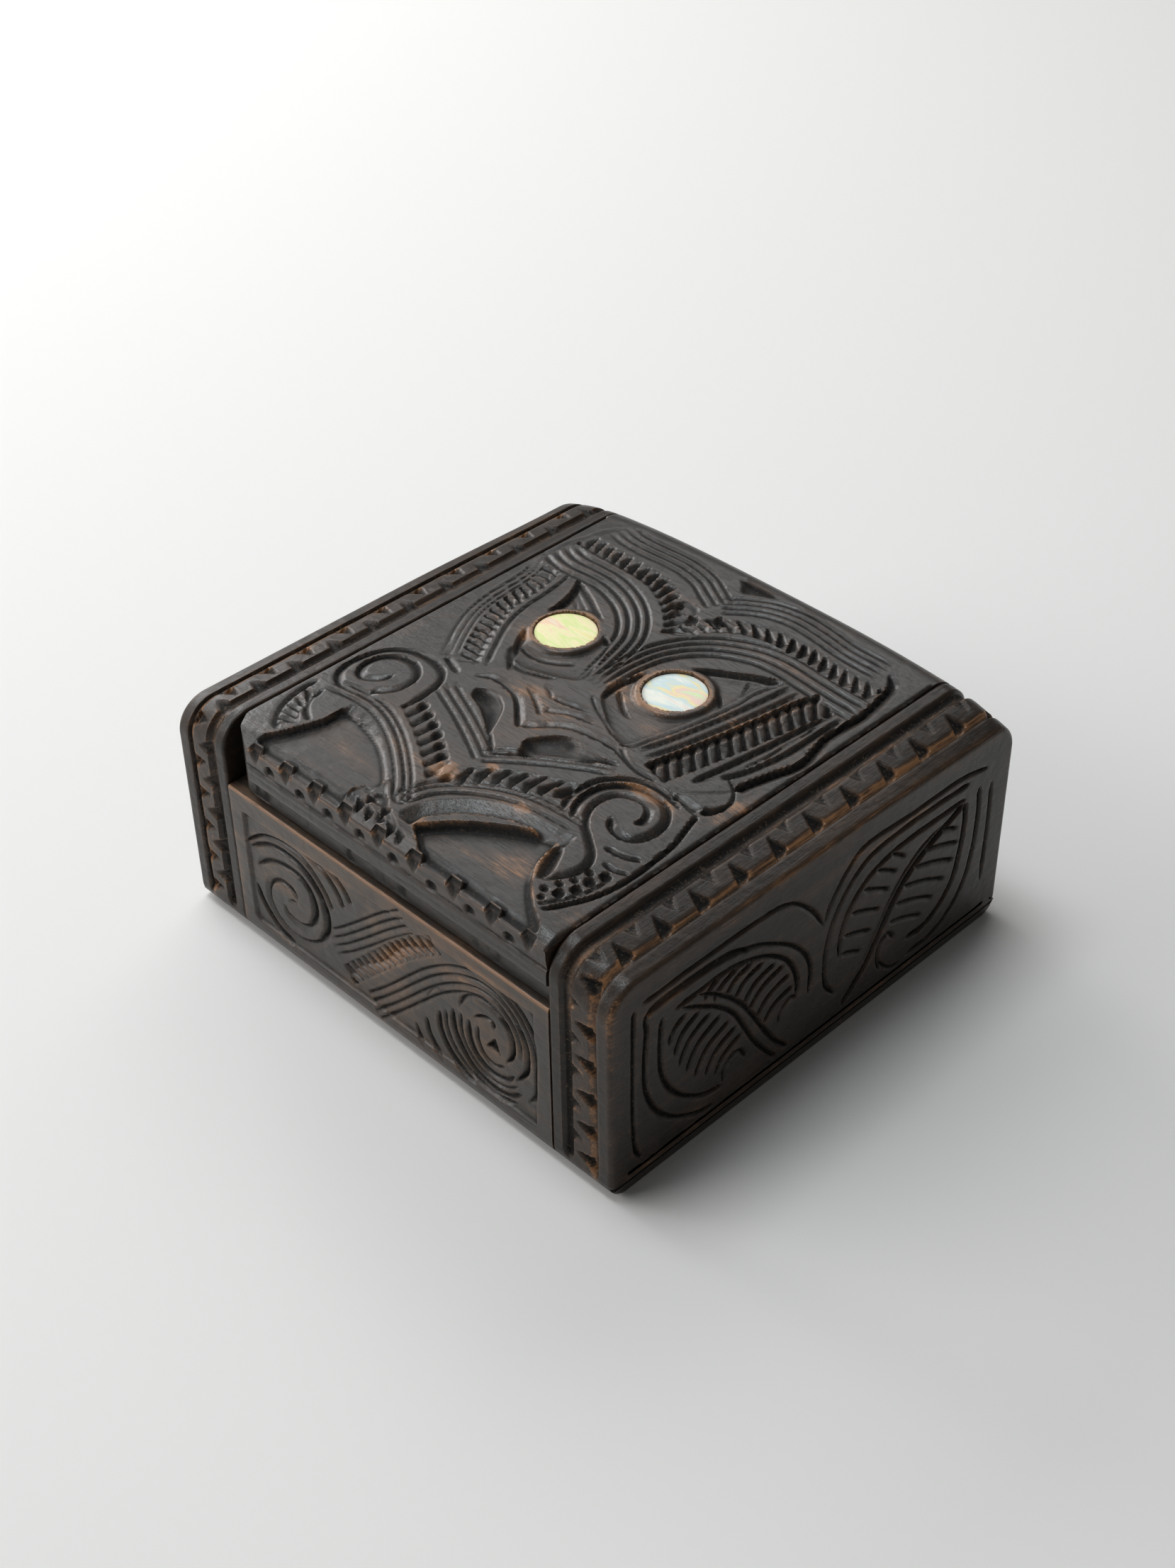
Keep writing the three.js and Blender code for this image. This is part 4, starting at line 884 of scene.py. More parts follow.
CHEEK_CARVING = Carving(
    marks=(
        # Frame lines
        Cut(((-62.4, 54), (-62.6, 40), (-62.6, 24), (-62, 12), (-60, 7)), 1.6, 0.6, 1.01, (1, 3)),
        Cut(((-60, 54.6), (-40, 55), (-20, 54.6), (-13, 53), (-8, 49.6), (-3, 44), (0.4, 38)), 1.2, 0.6, 1.08, (2, 4)),
        Cut(((0.2, 39), (3.4, 45.6), (8.4, 51.4), (14.6, 54.6), (30, 54), (48, 53.8), (60, 51.4)),
            1.2, 0.6, 1.08, (4, 3)),
        Cut(((-56.6, 4), (-30, 4.2), (0, 4.4), (30, 4.4), (44, 4.6)), 1.0, 0.6, 0.86, (3, 3)),
        Cut(((62.2, 46), (62.4, 30), (62, 14)), 1.3, 0.86, 0.6, (3, 6)),
        # Scrolls of the left motif
        Cut(((-26, 47.8), (-33, 50.6), (-45, 51.4), (-57.4, 50.6), (-58.4, 44), (-59, 34), (-58.2, 26), (-55, 18.4),
             (-49.6, 12.4), (-42.4, 8.2), (-36, 6.6)), 1.6, 0.6, 1.3, (1, 4)),
        Cut(((-58, 50.8), (-45, 51), (-33, 50.2), (-24, 47.6), (-16, 43), (-9.6, 38), (-5, 32), (-3.4, 26), (-4, 19)),
            1.3, 0.7, 1.15, (2, 4)),
        Cut(((-53.6, 46.4), (-54, 38), (-53.6, 29.6), (-51, 22.6), (-46, 16.4), (-40, 12.4), (-33.6, 11)),
            1.6, 0.7, 1.3,
            (2, 2)),
        Cut(((-50, 46), (-40, 46.4), (-32, 46.2), (-24, 43.8), (-17.4, 40.2), (-11.6, 34.8), (-8.4, 28), (-8, 22)),
            1.5, 0.7, 1.3, (3, 2)),
        # Band between the leaves of the left motif
        Cut(((-48, 45), (-41, 40.6), (-35, 36.2), (-30, 30.8), (-26.6, 24.6), (-22.6, 17), (-18, 10.4), (-14.6, 6.4)),
            1.4, 0.8, 0.8, (5, 2)),
        Cut(((-43, 45.6), (-37, 41.6), (-31.6, 36.8), (-27, 31.4), (-23.6, 26), (-20.4, 20.4), (-15.6, 12.6),
             (-10.6, 7)),
            1.4, 0.8, 0.8, (5, 2)),
        # Bulbs
        Cut(((-33.4, 11.6), (-33, 15.6), (-30.6, 18.4), (-27.4, 17.6), (-25.4, 14.6)), 1.2, 0.6, 1.3, (1, 1)),
        Cut(((-14.6, 17.4), (-13.6, 20.8), (-11, 22.8), (-8, 21.8)), 1.2, 0.6, 1.3, (1, 1)),
        # Scrolls of the right motif
        Cut(((53, 50.4), (36, 51.2), (20, 50.8), (12.4, 48.4), (6.4, 42.6), (2.6, 35), (1.2, 26), (2.2, 18),
             (6, 12.6)),
            1.5, 1.3, 0.6, (2, 3)),
        Cut(((52, 46), (40, 46.4), (26, 46.2), (16, 43.6), (9.6, 38), (6.8, 31), (6.6, 24)), 1.6, 1.3, 0.7, (2, 3)),
        Cut(((52, 44.6), (44.6, 41.4), (37, 38), (30.6, 33.6), (26, 28), (22, 21.4), (17, 14), (9, 6.6)),
            1.5, 0.8, 1.73,
            (2, 2)),
        Cut(((45, 43), (36.6, 41), (30, 36.6), (25, 31), (20.6, 23.4), (15.6, 15.6), (12.4, 12)),
            1.0, 0.86, 0.6, (3, 2)),
        Cut(((52.4, 44.6), (52.8, 38), (52, 30), (50.4, 22.6), (46, 16.4), (39.4, 12.8), (32.4, 13.2)), 1.4, 0.7, 1.44,
            (1, 2)),
        Cut(((57.4, 47), (58, 38), (57.4, 28), (55, 18.4), (50, 11.6), (42.6, 7.6), (33, 7.4)),
            1.2, 0.7, 1.15, (2, 3)),
        Cut(((23, 9.4), (21.6, 14), (22.4, 18.4), (25.6, 19.6), (28, 17)), 1.2, 0.6, 1.3, (1, 1)),
        Cut(((22.6, 12), (27, 7.4), (31, 6.8)), 1.0, 0.6, 0.86, (1, 1)),
    ) + tuple(
        # Short curved cuts that fill the four leaves
        Cut((start, ((start[0] + end[0]) / 2 - bow, (start[1] + end[1]) / 2 + bow), end), 1.2, 1.2, 0.5, (2, 1.5))
        for start, end, bow in (
            ((-51.6, 36), (-46, 42.2), 0.9), ((-49.8, 31.6), (-41.6, 40), 1.2), ((-48.2, 27.4), (-38, 37), 1.4),
            ((-45.8, 23.6), (-34.6, 33.8), 1.5), ((-43, 20), (-31.4, 30.2), 1.6), ((-39.4, 17.8), (-29, 26.6), 1.4),
            ((-36.2, 15.6), (-27, 23), 1.2),
            ((-40.4, 42), (-35.4, 45.6), 0.5), ((-37.4, 39.6), (-29.4, 44.6), 0.8), ((-33.6, 37.8), (-24.6, 43), 1.0),
            ((-30.6, 34.8), (-20.6, 40.6), 1.2), ((-27.4, 31.4), (-16.4, 37.6), 1.3), ((-25.4, 28), (-13.2, 34.8),
                1.4),
            ((-22.4, 24.4), (-10.8, 30.6), 1.3), ((-20, 20.4), (-9.6, 26), 1.2),
            ((30, 41.4), (24.4, 45.4), 0.3), ((27, 38.6), (19, 43.6), 0.3), ((24.6, 34.6), (14.4, 40.4), 0.3),
            ((21.6, 30.2), (10.4, 35.6), 0.3), ((18.6, 25.4), (8, 30), 0.3), ((15.4, 20.8), (7.4, 24.6), 0.3),
            ((50, 38.4), (42.6, 41.6), 0.4), ((50.8, 33.6), (37.4, 38.6), 0.6), ((49.6, 28.8), (33.6, 35.6), 0.8),
            ((46.6, 24.4), (30, 32), 0.9), ((42.8, 20.8), (27.4, 27.8), 0.9), ((38.6, 17.6), (25.4, 23.2), 0.8),
        )
    ),
    worn=(
        Worn((-55, 52), (14, 4), 0.5), Worn((20, 52), (30, 3), 0.5), Worn((0, 60), (70, 1.6), 0.4),
        Worn((0, 30), (90, 40), 0.3),
    ),
)

# Strip along the front of the lid. Coordinates are millimetres across the box and up from its underside.

STRIP_TEETH = (-43.2, -32, -21.2, -10.4, 1.3, 13.4, 26.4, 39, 50.4)
STRIP_PITS = (-49.4, -37.9, -26.6, -16.4, -5, 6.5, 19.4, 32, 44.6)


def strip_marks() -> tuple[Mark, ...]:
    """Teeth and pits of the strip along the front of the lid."""
    marks: list[Mark] = []
    for number, x in enumerate(STRIP_TEETH):
        lean = 0.5 * math.sin(number * 2.4)
        marks.append(Chip((x + 0.6 * lean, 59.3), (x - 3.1, 66.8), (x + 3.0, 66.8), 1.8, 0.4))
    for number, x in enumerate(STRIP_PITS):
        marks.append(Pit((x, 59.9 + 0.3 * math.sin(number * 1.9)), 2.0, 1.3, True))
    marks.append(Cut(((-56, 58.3), (-20, 58.2), (20, 58.4), (56, 58.2)), 0.6, 3.4, 0.4, (0, 0)))
    marks.append(Cut(((-54, 56.4), (-30, 56.2), (-8, 56.5)), 0.25, 0.3, 0.3))
    marks.append(Cut(((4, 55.6), (28, 56.3), (52, 55.8)), 0.25, 0.3, 0.3))
    return tuple(marks)


STRIP = Carving(
    marks=strip_marks(),
    worn=(Worn((0, 64), (80, 0.9), 0.75), Worn((0, 60), (80, 2.4), 0.45), Worn((0, 54), (70, 0.8), 0.5)),
)

# Edge of a cheek. Coordinates are millimetres along the edge from the middle of the top, and across the box.

UNDERSIDE_ALONG = 131.59  # way along the edge from the middle of the top down to the underside
TOOTH_HEIGHTS = (50.2, 39.6, 29.2, 18.8, 8.6)
TOOTH_PLACES = (-68.6, -58.3, -46.4, -34.3, -21.8, -9.3, 3.4, 16.2, 29.2, 41.7, 55.1, 68.2)
CORNER_TEETH = 66  # teeth further along than this stand on a round corner or below it


def edge_marks() -> tuple[Mark, ...]:
    """Grooves and teeth along the edge of the right cheek."""
    marks: list[Mark] = [
        Cut(((-127, 61.5), (-60, 61.6), (0, 61.7), (60, 61.6), (127, 61.7)), 1.5, 1.6, 1.7, (2, 2), hollow=True),
        Cut(((-127, 70.5), (-60, 70.4), (0, 70.4), (60, 70.4), (127, 70.5)), 1.35, 0.4, 2.0, (2, 2)),
    ]
    front = tuple(z - UNDERSIDE_ALONG for z in TOOTH_HEIGHTS)
    back = tuple(UNDERSIDE_ALONG - z for z in TOOTH_HEIGHTS)
    for number, place in enumerate(front + TOOTH_PLACES + back):
        shift = 0.4 * math.sin(number * 2.1)
        marks.append(Chip((place + 0.2 + shift, 63.9), (place - 3.1, 70.5), (place + 1.9, 69.4), 1.9, 0.35, 0.2))
        half = 5.2 if abs(place) > CORNER_TEETH else 6.1
        middle = place + half
        marks.append(Chip((middle - shift, 67.2), (middle + 2.6, 61.6), (middle - 2.4, 61.6), 1.6, 0.3))
    return tuple(marks)


EDGE = Carving(
    marks=edge_marks(),
    worn=(
        Worn((0, 69.5), (600, 0.9), 1.0), Worn((0, 75.2), (140, 1.4), 0.6), Worn((0, 56.2), (140, 1.0), 0.25),
        Worn((-75, 73), (10, 3), 0.3), Worn((-70, 61.6), (24, 1.3), 0.8), Worn((20, 62), (60, 1.0), 0.8),
        Worn((20, 72.6), (22, 1.6), 0.4), Worn((-40, 58), (18, 1.2), 0.4), Worn((-100, 66), (26, 3), 0.4),
        Worn((0, 67), (600, 7), 0.2),
    ),
)

# Pieces of the box


@dataclass(frozen=True)
class BoxSizes:
    """Sizes that the pieces share, in millimetres. Places of the hinge are in Y and Z."""

    half_width: float = 75.0
    half_depth: float = 70.0
    height: float = 68.0
    crown_fall: float = 6.0
    cheek_inside: float = 56.4
    seam_height: float = 65.448
    board_bottom: float = 3.2
    board_half_length: float = 56.2
    board_thickness: float = 10.0
    bottom_radius: float = 5.0
    corner_radius: float = 9.0
    hinge: Point = (61.0, 56.448)
    pin_hole_radius: float = 2.3
    dowel_hole_radius: float = 2.8
    dowel_hole_depth: float = 10.3
    dowel_heights: Point = (15, 35)

    def crown(self, x: Array) -> Array:
        """Height of the crowned top at some distances from the middle."""
        return self.height - self.crown_fall * np.abs(x / self.half_width) ** 3

    def bottom_inset(self, z: float) -> float:
        """How far the round bottom edge stands back at a height."""
        drop = max(0.0, self.bottom_radius - z)
        return self.bottom_radius - math.sqrt(self.bottom_radius ** 2 - drop ** 2)


SIZES = BoxSizes()


@dataclass
class Skin:
    """A grid of points wrapped round a piece, with what the finish has to know at each point: wear, crests, and
    hollows that get dust and painted shade.
    """

    places: Array
    sunk: Array
    wear: Array
    edge: Array
    cell: float = CELL
    near_reach: float = 0.9
    wide_reach: float = 2.4

    def to_bmesh(self) -> bmesh.types.BMesh:
        """Lay a grid over the points.

        Returns:
            The grid as a bmesh in metres, with the values of the finish on its points, among them the hollows that get
            painted shade.
        """
        rows, columns = self.sunk.shape
        start = bmesh.new()
        bmesh.ops.create_grid(start, x_segments=columns - 1, y_segments=rows - 1, size=1.0)
        mesh = bpy.data.meshes.new("skin")
        start.to_mesh(mesh)
        start.free()
        flat = np.empty(len(mesh.vertices) * 3)
        mesh.vertices.foreach_get("co", flat)
        grid = (flat.reshape(-1, 3)[:, :2] + 1) / 2
        j = np.rint(grid[:, 0] * (columns - 1)).astype(int)
        i = np.rint(grid[:, 1] * (rows - 1)).astype(int)
        mesh.vertices.foreach_set("co", (self.places[i, j] * MM).ravel())
        near = blurred(self.sunk, max(1, round(self.near_reach / self.cell)))
        wide = blurred(self.sunk, max(1, round(self.wide_reach / self.cell)))
        values = {
            # cavity: how far a point lies below its surroundings; the finish puts dust and painted shade there
            "cavity": np.clip((self.sunk - near) * 2.0 + (self.sunk - wide) * 0.65, 0, 2),
            "crest": np.clip((near - self.sunk) * 1.3, 0, 2) + self.edge,
            "wear": self.wear,
        }
        for name, value in values.items():
            layer = mesh.attributes.new(name, "FLOAT", "POINT")
            layer.data.foreach_set("value", value[i, j].astype(np.float32))
        result = bmesh.new()
        result.from_mesh(mesh)
        bpy.data.meshes.remove(mesh)
        return result

    def to_tube(self) -> bmesh.types.BMesh:
        """Lay a grid over the points of a closed section, and join its first and last row."""
        result = self.to_bmesh()
        bmesh.ops.remove_doubles(result, verts=result.verts, dist=TINY)
        return result


@dataclass(frozen=True)
class Hole:
    """A round blind hole, in millimetres."""

    centre: Place
    radius: float
    depth: float


def stretch(start: float, end: float, step: float) -> Array:
    """Even places from start to end, about a step apart, without the last one."""
    return np.linspace(start, end, max(1, round(abs(end - start) / step)), endpoint=False)


def strip(x: Array, y: Array | float, z: Array | float, cut: Array | float = 0.0, wear: Array | float = 0.0,
          ) -> tuple[Array, Array, Array]:
    """Strip of a skin.

    Args:
        x: Places across the box.
        y: Places back from its middle.
        z: Heights.
        cut: Depth of the carving.
        wear: Wear between 0 and 1.

    Returns:
        The points, the depths and the wear, each as a grid.
    """
    return np.stack(np.broadcast_arrays(x, y, z), -1), np.broadcast_to(cut, x.shape), np.broadcast_to(wear, x.shape)


def closed(strips: list[tuple[Array, Array, Array]]) -> tuple[Array, Array, Array]:
    """Three grids joined from strips, each of which ends with its first row again."""
    grids = (np.concatenate(parts) for parts in zip(*strips))
    return tuple(np.concatenate([grid, grid[:1]]) for grid in grids)


def verts_of(made: dict[str, list]) -> list[bmesh.types.BMVert]:
    """Vertices among what an operator made."""
    return [item for item in made["geom"] if isinstance(item, bmesh.types.BMVert)]


def border(bm: bmesh.types.BMesh, x: float) -> list[bmesh.types.BMEdge]:
    """Open edges of a bmesh that lie at one distance across the box, in millimetres."""
    return [edge for edge in bm.edges
            if edge.is_boundary and all(abs(vert.co.x - x * MM) < TINY for vert in edge.verts)]


def close_end(bm: bmesh.types.BMesh, edges: list[bmesh.types.BMEdge], holes: list[Hole], axis: Vector) -> None:
    """Close a flat open end, and drill round holes into it.

    Args:
        bm: The piece.
        edges: The open edges round the end.
        holes: Holes in the end.
        axis: Direction into the piece.
    """
    turn = Vector((0, 0, 1)).rotation_difference(axis).to_matrix().to_4x4()
    rings = []
    for hole in holes:
        centre = Vector([part * MM for part in hole.centre])
        made = bmesh.ops.create_circle(bm, cap_ends=False, radius=hole.radius * MM, segments=28,
                                       matrix=Matrix.Translation(centre) @ turn)
        rings.append(list({edge for vert in made["verts"] for edge in vert.link_edges}))
    bmesh.ops.triangle_fill(bm, use_beauty=False, use_dissolve=False,
                            edges=edges + [edge for ring in rings for edge in ring], normal=-axis)
    for hole, ring in zip(holes, rings):
        deep = bmesh.ops.extrude_edge_only(bm, edges=ring)
        verts = verts_of(deep)
        bmesh.ops.translate(bm, verts=verts, vec=axis * (hole.depth * MM))
        far = [item for item in deep["geom"] if isinstance(item, bmesh.types.BMEdge)
               and all(vert in verts for vert in item.verts)]
        bmesh.ops.edgeloop_fill(bm, edges=far)


def piece_from(bm: bmesh.types.BMesh, name: str, material: bpy.types.Material, sharp: float = 50) -> bpy.types.Object:
    """Finished object from a bmesh.

    Args:
        bm: The piece, in metres and in place. It is freed.
        name: Name of the piece.
        material: Its finish.
        sharp: Angle in degrees from which an edge is drawn sharp.

    Returns:
        The new object, at the origin.
    """
    bmesh.ops.remove_doubles(bm, verts=bm.verts, dist=TINY)
    bmesh.ops.recalc_face_normals(bm, faces=bm.faces)
    for face in bm.faces:
        face.smooth = True
    mesh = bpy.data.meshes.new(name)
    bm.to_mesh(mesh)
    bm.free()
    mesh.set_sharp_from_angle(angle=math.radians(sharp))
    mesh.materials.append(material)
    piece = bpy.data.objects.new(name, mesh)
    bpy.context.scene.collection.objects.link(piece)
    log.info("%s: %d triangles", name, sum(len(polygon.vertices) - 2 for polygon in mesh.polygons))
    return piece


@dataclass
class Lid:
    """The thick lid with the mask, its rounded back edge and the finger recess along its front."""

    half_width: float = 55.9
    underside: float = 47.448
    strip_bottom: float = 53.448
    recess: float = 2.0
    arris: float = 63.95
    arris_run: float = 4.6
    fine: float = 0.446
    roughness: float = 0.05
    notch_run: float = 5.0
    mask_run: float = 2.4
    side_fall: float = 0.5
    side_run: float = 0.8
    eyes: tuple[Point, Point] = (EYE_LEFT, EYE_RIGHT)
    pin_hole_depth: float = 12.3
    worn_corner: tuple[tuple[Point, Point], ...] = (
        ((-55.9, -59.6), (-52.6, -70.0)), ((-55.9, -61.4), (-49.6, -70.0)), ((-55.9, -64.6), (-46.6, -70.0)),
    )

    def top(self, x: Array, y: Array) -> Array:
        """Uncut height of the top: crowned, and falling to a straight front arris."""
        share = smoothstep((y + SIZES.half_depth) / self.arris_run * 0.5 + 0.5) * 2 - 1
        return self.arris + (SIZES.crown(x) - self.arris) * share

    def skin(self) -> Skin:
        """Wrap the grid round the lid's section and press the carving into it."""
        front, recessed = -SIZES.half_depth, self.recess - SIZES.half_depth
        hinge_y, hinge_z = SIZES.hinge
        radius = SIZES.corner_radius
        xs = np.linspace(-self.half_width, self.half_width, round(2 * self.half_width / self.fine) + 1)
        shares = stretch(0, 1, self.fine / (self.arris - self.strip_bottom))
        tops = stretch(front, hinge_y, self.fine)
        grain = self.roughness * unevenness(len(shares) + len(tops), len(xs), 5, 3)
        # Front strip
        notch = STRIP.depth(xs[None, :], np.full((1, len(xs)), self.arris + 1))[0]
        x, share = np.meshgrid(xs, shares)
        z = self.strip_bottom + (self.top(xs, front + notch)[None, :] - self.strip_bottom) * share
        cut = np.clip(STRIP.depth(x, z) + grain[:len(shares)], 0, None)
        lower = np.clip(1 - (z - self.strip_bottom) / 0.7, 0, 1)
        strips = [strip(x, front + cut + 0.5 * lower ** 2, z, cut, STRIP.wear(x, z))]
        # Top, whose front edge follows the notches of the strip
        x, y = np.meshgrid(xs, tops)
        moved = y + notch[None, :] * np.clip(1 - (y - front) / self.notch_run, 0, 1)
        cut = MASK.depth(x, moved) * smoothstep((y - front) / self.mask_run) + grain[len(shares):]
        cut = np.clip(cut, 0, None)
        side = np.clip(1 - (self.half_width - np.abs(x)) / self.side_run, 0, 1) ** 2 * self.side_fall
        height = self.top(x, moved) - cut - side
        x, moved = self.snapped(x, moved)
        strips.append(strip(x, moved, height, cut, MASK.wear(x, moved)))
        # Round back edge
        x, angle = np.meshgrid(xs, np.radians(stretch(90, -90, 9)))
        z = hinge_z + radius * np.sin(angle)
        lift = np.clip(z - hinge_z, 0, None) / radius * (SIZES.crown(x) - SIZES.seam_height)
        strips.append(strip(x, hinge_y + radius * np.cos(angle), z + lift, wear=0.15))
        # Underside, roughly gouged recess and the ledge above it
        x, y = np.meshgrid(xs, stretch(hinge_y, recessed, 12))
        strips.append(strip(x, y, self.underside))
        x, z = np.meshgrid(xs, stretch(self.underside, self.strip_bottom, 0.6))
        gouged = 0.35 * unevenness(1, len(xs), 7, 8) + 0.12 * unevenness(len(z), len(xs), 4, 9)
        gouged = np.clip(gouged + 0.1, 0, 1) * np.clip((z - self.underside) / 0.8, 0, 1)
        # The depth passed on to the finish is three times the gouge, so that painted shade darkens the gouges in black
        # streaks
        strips.append(strip(x, recessed + gouged, z, 3 * gouged))
        x, y = np.meshgrid(xs, stretch(recessed, front, 0.5))
        strips.append(strip(x, y, self.strip_bottom, 0.4))
        places, sunk, wear = closed(strips)
        edge = 0.25 * np.exp(-((self.half_width - np.abs(places[..., 0])) / 0.7) ** 2)
        edge += 0.5 * np.exp(-((places[..., 1] - front) ** 2 + (places[..., 2] - self.arris) ** 2) / 0.8)
        return Skin(places, sunk, wear, edge, self.fine)

    def snapped(self, x: Array, y: Array) -> tuple[Array, Array]:
        """Move the points next to an eye's socket onto its round wall.

        Args:
            x: Places across the box.
            y: Places back from its middle.

        Returns:
            The places, moved.
        """
        for centre in self.eyes:
            radius = np.hypot(x - centre[0], y - centre[1])
            wanted = np.where(radius < SOCKET_RADIUS, SOCKET_RADIUS - 0.03, SOCKET_RADIUS + 0.05)
            scale = np.where(np.abs(radius - SOCKET_RADIUS) < 0.3, wanted / np.maximum(radius, TINY), 1)
            x = centre[0] + (x - centre[0]) * scale
            y = centre[1] + (y - centre[1]) * scale
        return x, y

    def build(self, finish: "StainedWood") -> bpy.types.Object:
        """Make the lid, with the holes for its pins and its worn corner."""
        bm = self.skin().to_tube()
        for side in (-1, 1):
            x = side * self.half_width
            hole = Hole((x, *SIZES.hinge), SIZES.pin_hole_radius, self.pin_hole_depth)
            close_end(bm, border(bm, x), [hole], Vector((-side, 0, 0)))
        for (x0, y0), (x1, y1) in self.worn_corner:
            normal = Vector((y1 - y0, x0 - x1, 0)).normalized()
            cut = bmesh.ops.bisect_plane(bm, geom=bm.verts[:] + bm.edges[:] + bm.faces[:], dist=1e-7,
                                         plane_co=(x0 * MM, y0 * MM, 0), plane_no=normal, clear_outer=True)
            edges = [item for item in cut["geom_cut"] if isinstance(item, bmesh.types.BMEdge)]
            bmesh.ops.edgeloop_fill(bm, edges=edges)
        piece = piece_from(bm, "carved_lid", finish.material("lid_wood"))
        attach(piece, "lid")
        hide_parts("lid")
        return piece


@dataclass
class LongBoard:
    """The front or the back board, carved on its outer face."""

    name: str
    node: str
    side: int
    top: float
    fine: float = 0.3
    roughness: float = 0.05
    rounding: float = 0.6

    def skin(self) -> Skin:
        """Wrap the grid round the board's section and press the carving into its outer face."""
        low, half = SIZES.board_bottom, SIZES.board_half_length
        outside, inner_face = SIZES.half_depth, SIZES.half_depth - SIZES.board_thickness
        xs = np.linspace(-half, half, round(2 * half / self.fine) + 1)
        heights = stretch(low, self.top - self.rounding, self.fine)
        # Carved face, which looks the same from outside on both boards
        x, z = np.meshgrid(xs, heights)
        seen = -self.side * x
        grain = self.roughness * unevenness(len(heights), len(xs), 7, 11 + self.side)
        cut = np.clip(FRONT_CARVING.depth(seen, z, self.fine) + grain, 0, None)
        inset = np.array([SIZES.bottom_inset(value) for value in heights])[:, None]
        strips = [strip(x, outside - inset - cut, z, cut, FRONT_CARVING.wear(seen, z))]
        # Rounded and worn upper edge
        x, angle = np.meshgrid(xs, np.radians(stretch(0, 90, 30)))
        y = outside - self.rounding + self.rounding * np.cos(angle)
        strips.append(strip(x, y, self.top - self.rounding + self.rounding * np.sin(angle), wear=1.0))
        # Plain top, inner face and underside
        x, y = np.meshgrid(xs, stretch(outside - self.rounding, inner_face, 2.5))
        strips.append(strip(x, y, self.top))
        x, z = np.meshgrid(xs, stretch(self.top, low, 6))
        strips.append(strip(x, inner_face, z))
        x, y = np.meshgrid(xs, stretch(inner_face, outside - SIZES.bottom_inset(low), 3))
        strips.append(strip(x, y, low))
        places, sunk, wear = closed(strips)
        places[..., 1] *= self.side
        edge = 0.4 * np.exp(-((half - np.abs(places[..., 0])) / 0.6) ** 2)
        edge += 0.8 * np.exp(-((self.top - places[..., 2]) ** 2 + (outside - np.abs(places[..., 1])) ** 2) / 0.8)
        return Skin(places, sunk, wear, edge, self.fine)

    def build(self, finish: "StainedWood") -> bpy.types.Object:
        """Make the board, with the holes for its dowels."""
        bm = self.skin().to_tube()
        y = self.side * (SIZES.half_depth - SIZES.board_thickness / 2)
        for end in (-1, 1):
            x = end * SIZES.board_half_length
            holes = [Hole((x, y, z), SIZES.dowel_hole_radius, SIZES.dowel_hole_depth) for z in SIZES.dowel_heights]
            close_end(bm, border(bm, x), holes, Vector((-end, 0, 0)))
        piece = piece_from(bm, self.name, finish.material(f"{self.node}_wood"))
        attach(piece, "box")
        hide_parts(self.node)
        return piece


# Way along the edge that stands for a cheek's underside, where nothing is carved
UNDER = 400.0
# Way across and inset of the first rows of a cheek's edge, from its inner face round the seam's arris
SEAM_STEPS = ((0, 2.2), (0, 1.2), (0, 0.5), (0.15, 0.25), (0.35, 0.08))
# How many of these rows lie inside the flat inner face
INNER_ROWS = 2


def arc(middle: Point, radius: float, outward: Array, along: Array) -> tuple[Array, Array, Array]:
    """Round corner of a cheek's section.

    Args:
        middle: Its centre in Y and Z.
        radius: Its radius.
        outward: Direction out of the piece at each point.
        along: Way along the edge at each point.

    Returns:
        Places, directions into the piece, and the ways along.
    """
    return np.array(middle) + radius * outward, -outward, along


def straight(y: Array | float, z: Array | float, inward: Point, along: Array) -> tuple[Array, Array, Array]:
    """Straight part of a cheek's section.

    Args:
        y: Places back from the middle.
        z: Heights.
        inward: Direction into the piece.
        along: Way along the edge at each point.

    Returns:
        Places, directions into the piece, and the ways along.
    """
    place = np.stack(np.broadcast_arrays(y, z), -1)
    return place, np.broadcast_to(np.array(inward, float), place.shape), along


